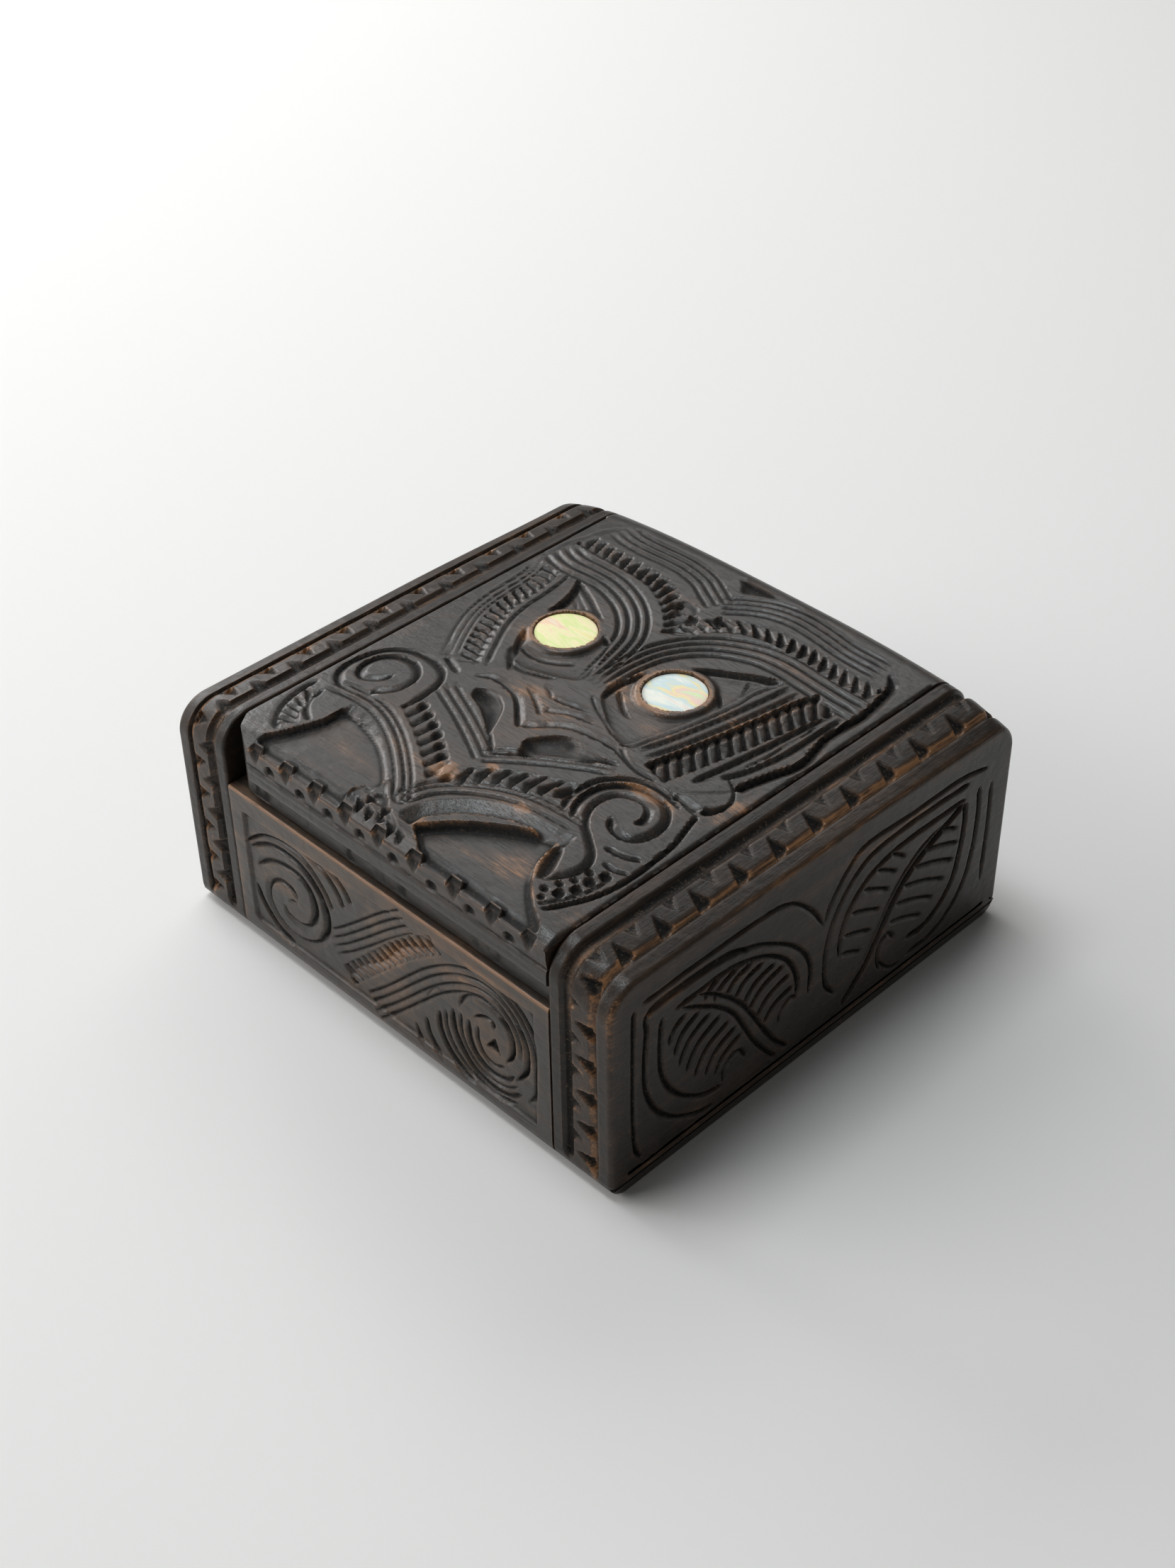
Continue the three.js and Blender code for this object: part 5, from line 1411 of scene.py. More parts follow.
@dataclass
class Cheek:
    """A thick end cheek: grooved and toothed along its edge, and carved on its outer face."""

    name: str
    node: str
    side: int
    arris: float = 1.2
    rubbed: float = 1.2
    fine: float = CELL
    face_fine: float = 0.36
    edge_fine: float = 0.42
    edge_cell: float = 0.43
    pin_hole_depth: float = 11.8
    field: tuple[float, float, float, float] = (-64.6, 64.6, 4.6, 57.2)

    def outline(self) -> tuple[Array, Array, Array]:
        """Walk round the cheek's section.

        Returns:
            Places in Y and Z, directions into the piece, and ways along the edge from the middle of the top.
        """
        low, bottom, radius = SIZES.board_bottom, SIZES.bottom_radius, SIZES.corner_radius
        half, top = SIZES.half_depth, SIZES.seam_height
        flat = half - radius
        start = math.asin((bottom - low) / bottom)
        rising = np.linspace(-start, 0, 4, endpoint=False)
        falling = np.linspace(0, start, 4, endpoint=False)
        front = np.radians(stretch(180, 90, 3))
        back = np.radians(stretch(90, 0, 3))
        up = stretch(bottom, top - radius, self.fine)
        across = stretch(-flat, flat, self.fine)
        down = stretch(top - radius, bottom, self.fine)
        under = stretch(half - SIZES.bottom_inset(low), SIZES.bottom_inset(low) - half, 5)
        return closed([
            arc((-half + bottom, bottom), bottom, np.stack([-np.cos(rising), np.sin(rising)], -1),
                bottom + bottom * np.sin(rising) - UNDERSIDE_ALONG),
            straight(-half, up, (1, 0), up - UNDERSIDE_ALONG),
            arc((-flat, top - radius), radius, np.stack([np.cos(front), np.sin(front)], -1),
                -flat - radius * math.pi / 2 + radius * (math.pi - front)),
            straight(across, top, (0, -1), across),
            arc((flat, top - radius), radius, np.stack([np.cos(back), np.sin(back)], -1),
                flat + radius * (math.pi / 2 - back)),
            straight(half, down, (-1, 0), UNDERSIDE_ALONG - down),
            arc((half - bottom, bottom), bottom, np.stack([np.cos(falling), -np.sin(falling)], -1),
                UNDERSIDE_ALONG - bottom + bottom * np.sin(falling)),
            straight(under, low, (0, 1), np.full(len(under), UNDER)),
        ])

    def crowned(self, places: Array) -> Array:
        """Points shifted with the crown of the box, as far as they lie above the base, and rubbed down outside."""
        share = (places[..., 2] - SIZES.board_bottom) / (SIZES.seam_height - SIZES.board_bottom)
        places = places.copy()
        places[..., 2] += share * (SIZES.crown(places[..., 0]) - SIZES.seam_height)
        outward = np.clip((places[..., 0] - 60) / 15, 0, 1) ** 2
        places[..., 2] -= self.rubbed * outward * smoothstep((places[..., 1] - 5) / 60) * np.clip(share, 0, 1)
        return places

    def edge_skin(self) -> Skin:
        """Wrap the grid round the edge of the cheek and press the grooves and teeth into it."""
        place, inward, along = self.outline()
        low, outer = SIZES.board_bottom, SIZES.half_width - self.arris
        steps = np.array(SEAM_STEPS)
        even = stretch(SIZES.cheek_inside + 0.7, outer, self.edge_fine)
        angles = np.radians((0, 18, 36, 54, 72, 90))
        xs = np.concatenate([SIZES.cheek_inside + steps[:, 0], even, outer + self.arris * np.sin(angles),
                             [SIZES.half_width] * 2])
        inset = np.concatenate([steps[:, 1], 0 * even, self.arris * (1 - np.cos(angles)),
                                [self.arris + 0.5, self.arris + 1.1]])[:, None]
        rows = np.arange(len(xs))[:, None]
        s, x = np.meshgrid(along, xs)
        under = s == UNDER
        uncut = under | (rows >= len(steps) + len(even))
        hidden = rows < INNER_ROWS
        cut = EDGE.depth(np.where(uncut, 0, s), x) + 0.06 * unevenness(len(xs), len(along), 6, 21)
        cut = np.where(hidden | uncut, 0, np.clip(cut, 0, None))
        cut[:, -1] = cut[:, 0]
        points = place[None, :, :] + inward[None, :, :] * (cut + np.where(under, 0, inset))[..., None]
        # On the underside, only the flat sides stand back
        stood_back = np.where((inset > self.arris) | hidden, inset, 0)
        half = SIZES.half_depth - SIZES.bottom_inset(low)
        y = np.where(under, np.clip(points[..., 0], stood_back - half, half - stood_back), points[..., 0])
        z = np.where(under, low + stood_back, points[..., 1])
        places = self.crowned(np.stack([x, y, z], -1))
        places[..., 2] = np.maximum(places[..., 2], low)
        wear = np.where(hidden, 0, EDGE.wear(np.where(under, 0, s), x))
        edge = np.where(hidden, 0, 0.3 * np.exp(-((x - SIZES.cheek_inside) / 0.5) ** 2))
        edge += 0.3 * np.exp(-((x - outer - 0.5) / 0.8) ** 2) * (inset < self.arris + 0.2)
        return Skin(places, cut, wear, edge, self.edge_cell)

    def face_skin(self) -> Skin:
        """Press the carving into the outer face."""
        y0, y1, z0, z1 = self.field
        ys = np.linspace(y0, y1, round((y1 - y0) / self.face_fine) + 1)
        zs = np.linspace(z0, z1, round((z1 - z0) / self.face_fine) + 1)
        y, z = np.meshgrid(ys, zs)
        cut = CHEEK_CARVING.depth(y, z, self.face_fine) + 0.05 * unevenness(len(zs), len(ys), 7, 31)
        from_rim = np.minimum.reduce([y - y0, y1 - y, z - z0, z1 - z])
        cut = cut * smoothstep((from_rim - self.face_fine) / 0.5)
        places = np.stack([SIZES.half_width - np.clip(cut, 0, None), y, z], -1)
        return Skin(places, cut, CHEEK_CARVING.wear(y, z), 0 * cut, self.face_fine)

    def build(self, finish: "StainedWood") -> bpy.types.Object:
        """Make the cheek, with the holes for its pin and dowels."""
        bm = self.edge_skin().to_tube()
        face = self.face_skin().to_bmesh()
        mesh = bpy.data.meshes.new("face")
        face.to_mesh(mesh)
        face.free()
        bm.from_mesh(mesh)
        bpy.data.meshes.remove(mesh)
        outer = border(bm, SIZES.half_width)
        bmesh.ops.triangle_fill(bm, use_beauty=False, use_dissolve=False, edges=outer, normal=(1, 0, 0))
        x = SIZES.cheek_inside
        middle = SIZES.half_depth - SIZES.board_thickness / 2
        holes = [Hole((x, y, z), SIZES.dowel_hole_radius, SIZES.dowel_hole_depth)
                 for y in (-middle, middle) for z in SIZES.dowel_heights]
        holes.append(Hole((x, *SIZES.hinge), SIZES.pin_hole_radius, self.pin_hole_depth))
        close_end(bm, border(bm, x), holes, Vector((1, 0, 0)))
        if self.side < 0:
            bmesh.ops.scale(bm, vec=(-1, 1, 1), verts=bm.verts)
        piece = piece_from(bm, self.name, finish.material(f"{self.node}_wood"))
        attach(piece, "box")
        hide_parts(self.node)
        return piece


@dataclass
class BaseBoard:
    """The thin board under everything, with round front and back edges and sunk nail holes."""

    thickness: float = 3.0
    nail_hole_radius: float = 2.3
    nail_hole_depth: float = 1.5
    nails: tuple[Point, ...] = ((65.7, 42), (65.7, -42), (28, 62.5), (28, -62.5))
    end_bevel: float = 0.5

    def build(self, finish: "StainedWood") -> bpy.types.Object:
        """Make the board."""
        bm = bmesh.new()
        radius, half, width = SIZES.bottom_radius, SIZES.half_depth, SIZES.half_width
        start = math.asin((radius - self.thickness) / radius)
        section = [(half - radius + radius * math.cos(angle), radius - radius * math.sin(angle))
                   for angle in np.linspace(math.pi / 2, start, 12)]
        points = [(-y, z) for y, z in section[::-1]] + section
        end = bm.faces.new([bm.verts.new((-width * MM, y * MM, z * MM)) for y, z in points])
        made = bmesh.ops.extrude_face_region(bm, geom=[end])
        bmesh.ops.translate(bm, verts=verts_of(made), vec=(2 * width * MM, 0, 0))
        under = [face for face in bm.faces if all(abs(vert.co.z) < TINY for vert in face.verts)]
        edges = list({edge for face in under for edge in face.edges})
        bmesh.ops.delete(bm, geom=under, context="FACES_ONLY")
        holes = [Hole((side * x, y, 0), self.nail_hole_radius, self.nail_hole_depth)
                 for side in (-1, 1) for x, y in self.nails]
        close_end(bm, edges, holes, Vector((0, 0, 1)))
        ends = [edge for edge in bm.edges if all(abs(abs(vert.co.x) - width * MM) < TINY for vert in edge.verts)]
        bmesh.ops.bevel(bm, geom=ends, affect="EDGES", offset=self.end_bevel * MM, segments=3, profile=0.5,
                        material=-1)
        piece = piece_from(bm, "rounded_base", finish.material("base_wood"), 35)
        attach(piece, "box")
        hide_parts("base_board")
        return piece


@dataclass
class Eye:
    """A polished round shell disc let into the lid."""

    name: str
    node: str
    centre: Point
    radius: float = 8.0
    bottom: float = 65.4
    top: float = 67.45
    dome: float = 0.25
    rings: tuple[float, ...] = (0.03, 0.06, 0.1, 0.16, 0.2, 0.2, 0.16)

    def build(self, finish: "Shell") -> bpy.types.Object:
        """Make the disc, a little domed and with a rounded edge."""
        bm = bmesh.new()
        place = Matrix.Translation(Vector((*self.centre, self.bottom)) * MM)
        made = bmesh.ops.create_circle(bm, cap_ends=True, radius=self.radius * MM, segments=72, matrix=place)
        grown = bmesh.ops.extrude_face_region(bm, geom=list({face for v in made["verts"] for face in v.link_faces}))
        cap = [item for item in grown["geom"] if isinstance(item, bmesh.types.BMFace)]
        bmesh.ops.translate(bm, verts=verts_of(grown), vec=(0, 0, (self.top - self.bottom - self.dome) * MM))
        for share in self.rings:
            bmesh.ops.inset_region(bm, faces=cap, thickness=share * self.radius * MM, use_even_offset=True)
        rim = (self.top - self.dome) * MM
        x, y = (part * MM for part in self.centre)
        for vert in bm.verts:
            if vert.co.z > rim - TINY:
                away = math.hypot(vert.co.x - x, vert.co.y - y) / (self.radius * MM)
                vert.co.z = rim + self.dome * MM * math.sqrt(max(0.0, 1 - away ** 4)) if away < 0.999 else rim
        piece = piece_from(bm, self.name, finish.material(f"{self.node}_shell"), 60)
        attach(piece, "lid")
        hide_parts(self.node)
        return piece


# Finishes

IN_MILLIMETRES = 1000.0  # scale that turns object coordinates into millimetres
IRIDESCENT = (
    (0.6, 0.66, 0.44), (0.8, 0.72, 0.3), (0.84, 0.78, 0.46), (0.66, 0.74, 0.28), (0.84, 0.76, 0.44),
    (0.82, 0.55, 0.38), (0.8, 0.77, 0.58),
)
IRIDESCENT_COOL = (
    (0.26, 0.36, 0.42), (0.76, 0.66, 0.6), (0.8, 0.8, 0.7), (0.52, 0.66, 0.68), (0.82, 0.7, 0.34),
    (0.8, 0.56, 0.5), (0.62, 0.74, 0.42),
)


def rgba(colour: Colour) -> tuple[float, float, float, float]:
    """Colour with full cover."""
    return (*colour, 1.0)


class Nodes:
    """A node tree that is built up by short calls."""

    def __init__(self, tree: bpy.types.NodeTree) -> None:
        """Start with an empty tree."""
        self.tree = tree
        tree.nodes.clear()

    def add(self, kind: str, inputs: dict[str | int, object] | None = None, **settings: object) -> bpy.types.Node:
        """Add a node.

        Args:
            kind: The node's type without its common first part.
            inputs: Values or other nodes' outputs for its inputs.
            settings: Properties of the node.

        Returns:
            The node.
        """
        node = self.tree.nodes.new(f"ShaderNode{kind}")
        for name, value in settings.items():
            setattr(node, name, value)
        self.feed(node, inputs or {})
        return node

    def feed(self, node: bpy.types.Node, inputs: dict[str | int, object]) -> None:
        """Set inputs of a node to values or to other nodes' outputs."""
        for name, value in inputs.items():
            if isinstance(value, bpy.types.NodeSocket):
                self.tree.links.new(value, node.inputs[name])
            else:
                node.inputs[name].default_value = value

    def math(self, operation: str, first: object, second: object = 0.0, clamp: bool = False) -> bpy.types.NodeSocket:
        """Result of an operation on two values."""
        return self.add("Math", {0: first, 1: second}, operation=operation, use_clamp=clamp).outputs[0]

    def add_up(self, first: object, second: object) -> bpy.types.NodeSocket:
        """Sum of two values."""
        return self.math("ADD", first, second)

    def times(self, first: object, second: object) -> bpy.types.NodeSocket:
        """Product of two values."""
        return self.math("MULTIPLY", first, second)

    def fade(self, value: object, low: float, high: float, to_low: float = 0.0, to_high: float = 1.0,
             ) -> bpy.types.NodeSocket:
        """Value turned from one range to another with soft ends."""
        node = self.add("MapRange", {"Value": value, "From Min": low, "From Max": high, "To Min": to_low,
                                     "To Max": to_high}, interpolation_type="SMOOTHSTEP")
        return node.outputs["Result"]

    def mix(self, share: object, first: object, second: object) -> bpy.types.NodeSocket:
        """Mix of two colours."""
        return self.add("Mix", {0: share, 6: first, 7: second}, data_type="RGBA").outputs[2]

    def noise(self, vector: object, scale: float, detail: float, roughness: float, distortion: float = 0.0,
              ) -> bpy.types.NodeSocket:
        """Noise between 0 and 1."""
        return self.add("TexNoise", {"Vector": vector, "Scale": scale, "Detail": detail, "Roughness": roughness,
                                     "Distortion": distortion}).outputs["Fac"]

    def place(self, scale: Place, turn: float = 0.0, shift: float = 0.0) -> bpy.types.NodeSocket:
        """Object coordinates, scaled, turned about Z by some degrees and shifted in X and Y."""
        inputs = {"Vector": self.add("TexCoord").outputs["Object"], "Location": (shift, shift, 0),
                  "Rotation": (0, 0, math.radians(turn)), "Scale": scale}
        return self.add("Mapping", inputs).outputs[0]

    def surface(self, inputs: dict[str, object]) -> None:
        """Finish a material with a Principled shader."""
        self.add("OutputMaterial", {"Surface": self.add("BsdfPrincipled", inputs).outputs[0]})


def new_material(name: str) -> tuple[bpy.types.Material, Nodes]:
    """Material without nodes, and the builder of its node tree."""
    material = bpy.data.materials.new(name)
    material.use_nodes = True
    return material, Nodes(material.node_tree)


def new_group(name: str, inputs: dict[str, str], outputs: tuple[str, ...],
              ) -> tuple[bpy.types.NodeTree, Nodes, bpy.types.Node, bpy.types.Node]:
    """Empty node group.

    Args:
        name: Name of the group.
        inputs: Name and kind of each input.
        outputs: Names of the outputs, each a value.

    Returns:
        The group, its builder, its input node and its output node.
    """
    tree = bpy.data.node_groups.new(name, "ShaderNodeTree")
    for label, kind in inputs.items():
        tree.interface.new_socket(name=label, in_out="INPUT", socket_type=f"NodeSocket{kind}")
    for label in outputs:
        tree.interface.new_socket(name=label, in_out="OUTPUT", socket_type="NodeSocketFloat")
    nodes = Nodes(tree)
    return tree, nodes, tree.nodes.new("NodeGroupInput"), tree.nodes.new("NodeGroupOutput")


def fibres_group() -> bpy.types.NodeTree:
    """Wood fibres: broad streaks, fine lines and open pores along the least scaled axis."""
    tree, nodes, inlet, outlet = new_group("wood_fibres", {"Place": "Vector"}, ("Streaks", "Lines", "Pores", "Height"))
    place = inlet.outputs["Place"]
    streaks = nodes.noise(place, scale=0.35, detail=4.0, roughness=0.55)
    lines = nodes.noise(place, scale=2.4, detail=5.0, roughness=0.6)
    pores = nodes.fade(nodes.noise(place, scale=4.2, detail=2.0, roughness=0.5), 0.56, 0.7)
    height = nodes.math("SUBTRACT", nodes.times(lines, 0.7), nodes.times(pores, 0.35))
    nodes.feed(outlet, {"Streaks": streaks, "Lines": lines, "Pores": pores, "Height": height})
    return tree


def rubbing_group() -> bpy.types.NodeTree:
    """Where the stain is rubbed through, where shade is painted into the cuts, and where dust has stayed."""
    inputs = {"Streaks": "Float", "Lines": "Float", "Place": "Vector", "Strength": "Float"}
    tree, nodes, inlet, outlet = new_group("rubbing", inputs, ("Thin", "Bare", "PaintedShade", "Dust"))
    cavity, crest, wear = (nodes.add("Attribute", attribute_name=name).outputs["Fac"]
                           for name in ("cavity", "crest", "wear"))
    place = inlet.outputs["Place"]
    blotch = nodes.noise(place, scale=0.14, detail=3.0, roughness=0.6)
    speck = nodes.noise(place, scale=1.3, detail=4.0, roughness=0.7)
    grain = nodes.math("SUBTRACT", nodes.add_up(inlet.outputs["Streaks"], inlet.outputs["Lines"]), 1.0)
    rubbed = nodes.times(nodes.add_up(wear, nodes.times(crest, 0.75)), inlet.outputs["Strength"])
    rubbed = nodes.add_up(rubbed, nodes.times(grain, 1.5))
    rubbed = nodes.add_up(rubbed, nodes.times(nodes.math("SUBTRACT", blotch, 0.5), 0.9))
    # Share of the painted shade in the cuts that stays, less where the wood is worn
    kept = nodes.fade(wear, 0.3, 0.9, 1.0, 0.25)
    in_cuts = nodes.times(nodes.fade(cavity, 0.12, 0.6), nodes.fade(speck, 0.54, 0.7))
    on_top = nodes.times(nodes.fade(speck, 0.68, 0.78), 0.5)
    nodes.feed(outlet, {
        "Thin": nodes.fade(rubbed, 0.05, 0.8),
        "Bare": nodes.fade(rubbed, 0.72, 1.3),
        # Painted shade: darkens the cuts from their concavity
        "PaintedShade": nodes.times(nodes.fade(cavity, 0.15, 0.95), kept),
        "Dust": nodes.math("MAXIMUM", in_cuts, on_top),
    })
    return tree


@dataclass
class Groups:
    """The node groups that the finishes share."""

    fibres: bpy.types.NodeTree = field(default_factory=fibres_group)
    rubbing: bpy.types.NodeTree = field(default_factory=rubbing_group)


@dataclass(frozen=True)
class StainedWood:
    """Black-stained carved wood, satin, brown where it is rubbed, dusty in its cuts and darkened there with painted
    shade.
    """

    groups: Groups
    grain: Grain
    stain: Colour = (0.0215, 0.0183, 0.0152)
    thin: Colour = (0.05, 0.03, 0.019)
    bare: Colour = (0.24, 0.12, 0.055)
    # Colour of the open pores, and of the painted shade in the cuts
    deep: Colour = (0.004, 0.0032, 0.0028)
    dust: Colour = (0.16, 0.11, 0.065)
    strength: float = 1.0
    dustiness: float = 0.35
    roughness: float = 0.33
    shine: float = 0.5
    fibre_scale: float = 45.0
    ripple: float = 2.4
    bump: float = 0.00007

    def material(self, name: str) -> bpy.types.Material:
        """Make the material of one board."""
        material, nodes = new_material(name)
        along = [IN_MILLIMETRES] * 3
        along[self.grain.value] = self.fibre_scale
        even = nodes.place((IN_MILLIMETRES,) * 3)
        fibres = nodes.add("Group", {"Place": nodes.place(tuple(along))}, node_tree=self.groups.fibres).outputs
        rubbing = nodes.add("Group", {"Streaks": fibres["Streaks"], "Lines": fibres["Lines"], "Place": even,
                                      "Strength": self.strength}, node_tree=self.groups.rubbing).outputs
        dark = tuple(0.6 * part for part in self.stain)
        colour = nodes.mix(nodes.fade(fibres["Streaks"], 0.3, 0.7, 0.0, 0.6), rgba(self.stain), rgba(dark))
        colour = nodes.mix(rubbing["Thin"], colour, rgba(self.thin))
        colour = nodes.mix(rubbing["Bare"], colour, rgba(self.bare))
        colour = nodes.mix(nodes.times(fibres["Pores"], 0.55), colour, rgba(self.deep))
        # Painted shade: the cuts are mixed almost to the near-black colour
        colour = nodes.mix(nodes.times(rubbing["PaintedShade"], 0.95), colour, rgba(self.deep))
        colour = nodes.mix(nodes.times(rubbing["Dust"], self.dustiness), colour, rgba(self.dust))
        gloss = nodes.fade(fibres["Lines"], 0.3, 0.7, self.roughness - 0.02, self.roughness + 0.05)
        gloss = nodes.math("ADD", gloss, nodes.times(rubbing["PaintedShade"], 0.5), clamp=True)
        ripple = nodes.noise(even, scale=0.35, detail=3.0, roughness=0.55)
        height = nodes.add_up(fibres["Height"], nodes.times(ripple, self.ripple))
        bump = nodes.add("Bump", {"Height": height, "Distance": self.bump, "Strength": 1.0})
        nodes.surface({"Base Color": colour, "Roughness": gloss, "Normal": bump.outputs[0],
                       "Specular IOR Level": self.shine})
        return material


@dataclass(frozen=True)
class Shell:
    """Polished iridescent shell, in bands of cream, pale green, pink and blue."""

    bands: tuple[Colour, ...] = IRIDESCENT
    turn: float = 25.0
    shift: float = 0.0
    stretch: Place = (36.0, 140.0, 90.0)
    ramp_start: float = 0.34
    ramp_length: float = 0.32
    bump: float = 0.00006

    def material(self, name: str) -> bpy.types.Material:
        """Make the material of one disc."""
        material, nodes = new_material(name)
        turned = nodes.place(self.stretch, self.turn, self.shift)
        flow = nodes.noise(turned, scale=1.0, detail=5.0, roughness=0.55, distortion=0.5)
        ramp = nodes.add("ValToRGB", {"Fac": flow})
        stops = ramp.color_ramp.elements
        for number, colour in enumerate(self.bands):
            position = self.ramp_start + self.ramp_length * number / (len(self.bands) - 1)
            stop = stops[number] if number < 2 else stops.new(position)
            stop.position = position
            stop.color = rgba(colour)
        bump = nodes.add("Bump", {"Height": flow, "Distance": self.bump, "Strength": 0.5})
        nodes.surface({"Base Color": ramp.outputs["Color"], "Roughness": 0.35, "Normal": bump.outputs[0],
                       "Specular IOR Level": 0.4, "Coat Weight": 0.2, "Coat Roughness": 0.1})
        return material


@dataclass(frozen=True)
class PaleWood:
    """Bare pale wood of the dowels."""

    groups: Groups
    light: Colour = (0.46, 0.3, 0.15)
    dark: Colour = (0.3, 0.17, 0.08)
    stretch: Place = (60.0, 1500.0, 1500.0)
    bump: float = 0.0001

    def material(self, name: str) -> bpy.types.Material:
        """Make the material of the dowels."""
        material, nodes = new_material(name)
        fibres = nodes.add("Group", {"Place": nodes.place(self.stretch)}, node_tree=self.groups.fibres).outputs
        colour = nodes.mix(nodes.fade(fibres["Lines"], 0.3, 0.7), rgba(self.light), rgba(self.dark))
        bump = nodes.add("Bump", {"Height": fibres["Height"], "Distance": self.bump})
        nodes.surface({"Base Color": colour, "Roughness": 0.7, "Normal": bump.outputs[0]})
        return material


@dataclass(frozen=True)
class Steel:
    """Plain drawn wire with a little tarnish."""

    bright: Colour = (0.5, 0.49, 0.47)
    tarnish: Colour = (0.2, 0.15, 0.11)
    spot_scale: float = 900.0
    bump: float = 0.00004

    def material(self, name: str) -> bpy.types.Material:
        """Make the material of the pins and nails."""
        material, nodes = new_material(name)
        spots = nodes.noise(nodes.add("TexCoord").outputs["Object"], self.spot_scale, detail=5.0, roughness=0.65)
        colour = nodes.mix(nodes.fade(spots, 0.45, 0.7), rgba(self.bright), rgba(self.tarnish))
        bump = nodes.add("Bump", {"Height": spots, "Distance": self.bump})
        nodes.surface({"Base Color": colour, "Roughness": nodes.fade(spots, 0.3, 0.8, 0.3, 0.6), "Metallic": 1.0,
                       "Normal": bump.outputs[0]})
        return material


# Studio


@dataclass(frozen=True)
class Lamp:
    """A soft light of some width and height."""

    name: str
    place: Place
    size: Point
    power: float
    colour: Colour = (1.0, 1.0, 1.0)
    aim: Place = (0, 0, 0.03)

    def build(self) -> None:
        """Hang the light and turn it to its aim."""
        light = bpy.data.lights.new(self.name, "AREA")
        light.shape = "RECTANGLE"
        light.size, light.size_y = self.size
        light.energy = self.power
        light.color = self.colour
        lamp = bpy.data.objects.new(self.name, light)
        direction = Vector(self.aim) - Vector(self.place)
        lamp.matrix_world = (Matrix.Translation(Vector(self.place))
                             @ direction.to_track_quat("-Z", "Y").to_matrix().to_4x4())
        bpy.context.scene.collection.objects.link(lamp)


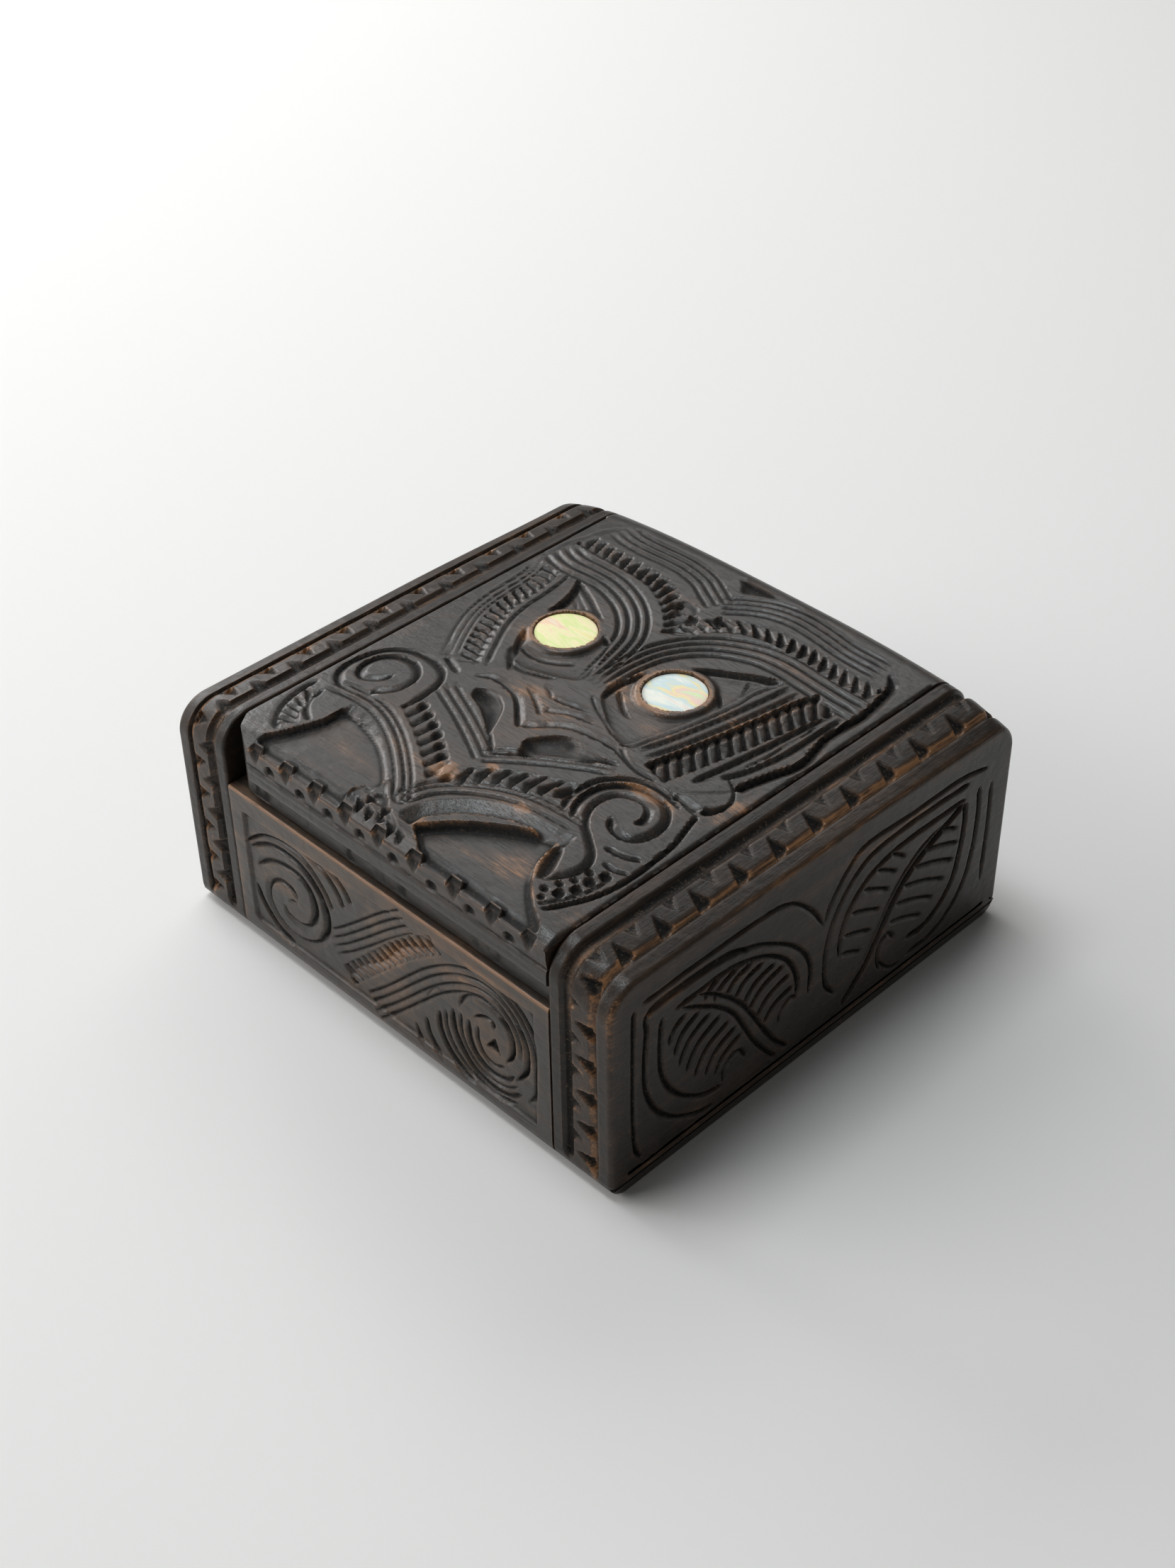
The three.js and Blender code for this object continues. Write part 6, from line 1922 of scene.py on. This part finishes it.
@dataclass
class Studio:
    """Pale floor, soft light and the camera at the photograph's viewing angle."""

    eye: Place = (0.3183, -0.3119, 0.3906)
    azimuth: float = 45.790
    elevation: float = 38.288
    roll: float = -0.957
    focal: float = 3215.8
    picture_height: int = 2212
    sensor: float = 24.0
    floor_size: float = 6.0
    floor_colour: Colour = (0.78, 0.77, 0.75)
    world: float = 0.09
    lamps: tuple[Lamp, ...] = (
        Lamp("front_left_window", (-1.0, -1.15, 0.8), (1.3, 1.0), 14.5),
        Lamp("low_left_window", (-1.35, 0.15, 0.6), (1.0, 0.45), 10.0),
        Lamp("back_left_window", (-0.75, 1.0, 1.15), (1.1, 0.8), 6.3),
        Lamp("ceiling", (-0.3, -0.12, 1.4), (0.45, 0.65), 9.5, (0.92, 0.97, 1.0)),
    )

    def build(self) -> None:
        """Set up everything round the box."""
        self.build_floor()
        self.build_world()
        for lamp in self.lamps:
            lamp.build()
        self.build_camera()
        bpy.context.scene.view_settings.view_transform = "Standard"

    def build_floor(self) -> None:
        """Lay the floor just under the box."""
        bm = bmesh.new()
        bmesh.ops.create_grid(bm, x_segments=8, y_segments=8, size=self.floor_size / 2)
        mesh = bpy.data.meshes.new("floor")
        bm.to_mesh(mesh)
        bm.free()
        material, nodes = new_material("pale_floor")
        nodes.surface({"Base Color": rgba(self.floor_colour), "Roughness": 0.9, "Specular IOR Level": 0.1})
        mesh.materials.append(material)
        floor = bpy.data.objects.new("floor", mesh)
        bpy.context.scene.collection.objects.link(floor)

    def build_world(self) -> None:
        """Surround the box with even pale light."""
        world = bpy.data.worlds.new("studio")
        world.use_nodes = True
        nodes = Nodes(world.node_tree)
        sky = nodes.add("Background", {"Color": (1.0, 1.0, 1.0, 1.0), "Strength": self.world})
        nodes.add("OutputWorld", {"Surface": sky.outputs[0]})
        bpy.context.scene.world = world

    def build_camera(self) -> None:
        """Place the camera where the photograph was taken from."""
        lens = bpy.data.cameras.new("camera")
        lens.sensor_fit = "VERTICAL"
        lens.sensor_height = self.sensor
        lens.lens = self.sensor * self.focal / self.picture_height
        lens.clip_start = 0.01
        camera = bpy.data.objects.new("camera", lens)
        azimuth, elevation = math.radians(self.azimuth), math.radians(self.elevation)
        forward = Vector((-math.cos(elevation) * math.sin(azimuth), math.cos(elevation) * math.cos(azimuth),
                          -math.sin(elevation)))
        turn = forward.to_track_quat("-Z", "Y").to_matrix().to_4x4()
        roll = Matrix.Rotation(math.radians(self.roll), 4, "Z")
        camera.matrix_world = Matrix.Translation(Vector(self.eye)) @ turn @ roll
        bpy.context.scene.collection.objects.link(camera)
        bpy.context.scene.camera = camera


@dataclass
class CarvedBox:
    """The whole box: boards, cheeks, lid, eyes and the fixings inside it."""

    groups: Groups = field(default_factory=Groups)

    def build(self) -> None:
        """Make every piece and dress the fixings."""
        black = StainedWood(self.groups, Grain.ACROSS)
        brown = StainedWood(self.groups, Grain.ACROSS, stain=(0.036, 0.028, 0.022), thin=(0.1, 0.057, 0.032),
                            dustiness=0.6)
        dull = StainedWood(self.groups, Grain.FRONT_TO_BACK, stain=(0.022, 0.0165, 0.0125), dustiness=0.6, shine=0.3)
        Lid().build(black)
        LongBoard("carved_front", "front_board", -1, 47.148).build(brown)
        LongBoard("carved_back", "back_board", 1, 47.048).build(brown)
        Cheek("carved_right_cheek", "right_cheek", 1).build(dull)
        Cheek("carved_left_cheek", "left_cheek", -1).build(dull)
        BaseBoard().build(brown)
        Eye("left_shell_eye", "left_eye", EYE_LEFT).build(Shell())
        Eye("right_shell_eye", "right_eye", EYE_RIGHT).build(Shell(IRIDESCENT_COOL, turn=-12.0, shift=3.7))
        self.dress_fixings()

    def dress_fixings(self) -> None:
        """Give the dowels, nails and pins their finishes."""
        wood = PaleWood(self.groups).material("dowel_wood")
        steel = Steel().material("wire_steel")
        for name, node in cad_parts.items():
            finish = wood if name.endswith("dowel") else steel if name.endswith(("nail", "pin")) else None
            if finish is None:
                continue
            node.data.materials.clear()
            node.data.materials.append(finish)
            log.info("%s: dressed", name)


def main() -> None:
    """Build the box and the studio round it."""
    logging.basicConfig(level=logging.INFO, format="%(message)s")
    CarvedBox().build()
    Studio().build()


if __name__ == "__main__":
    main()
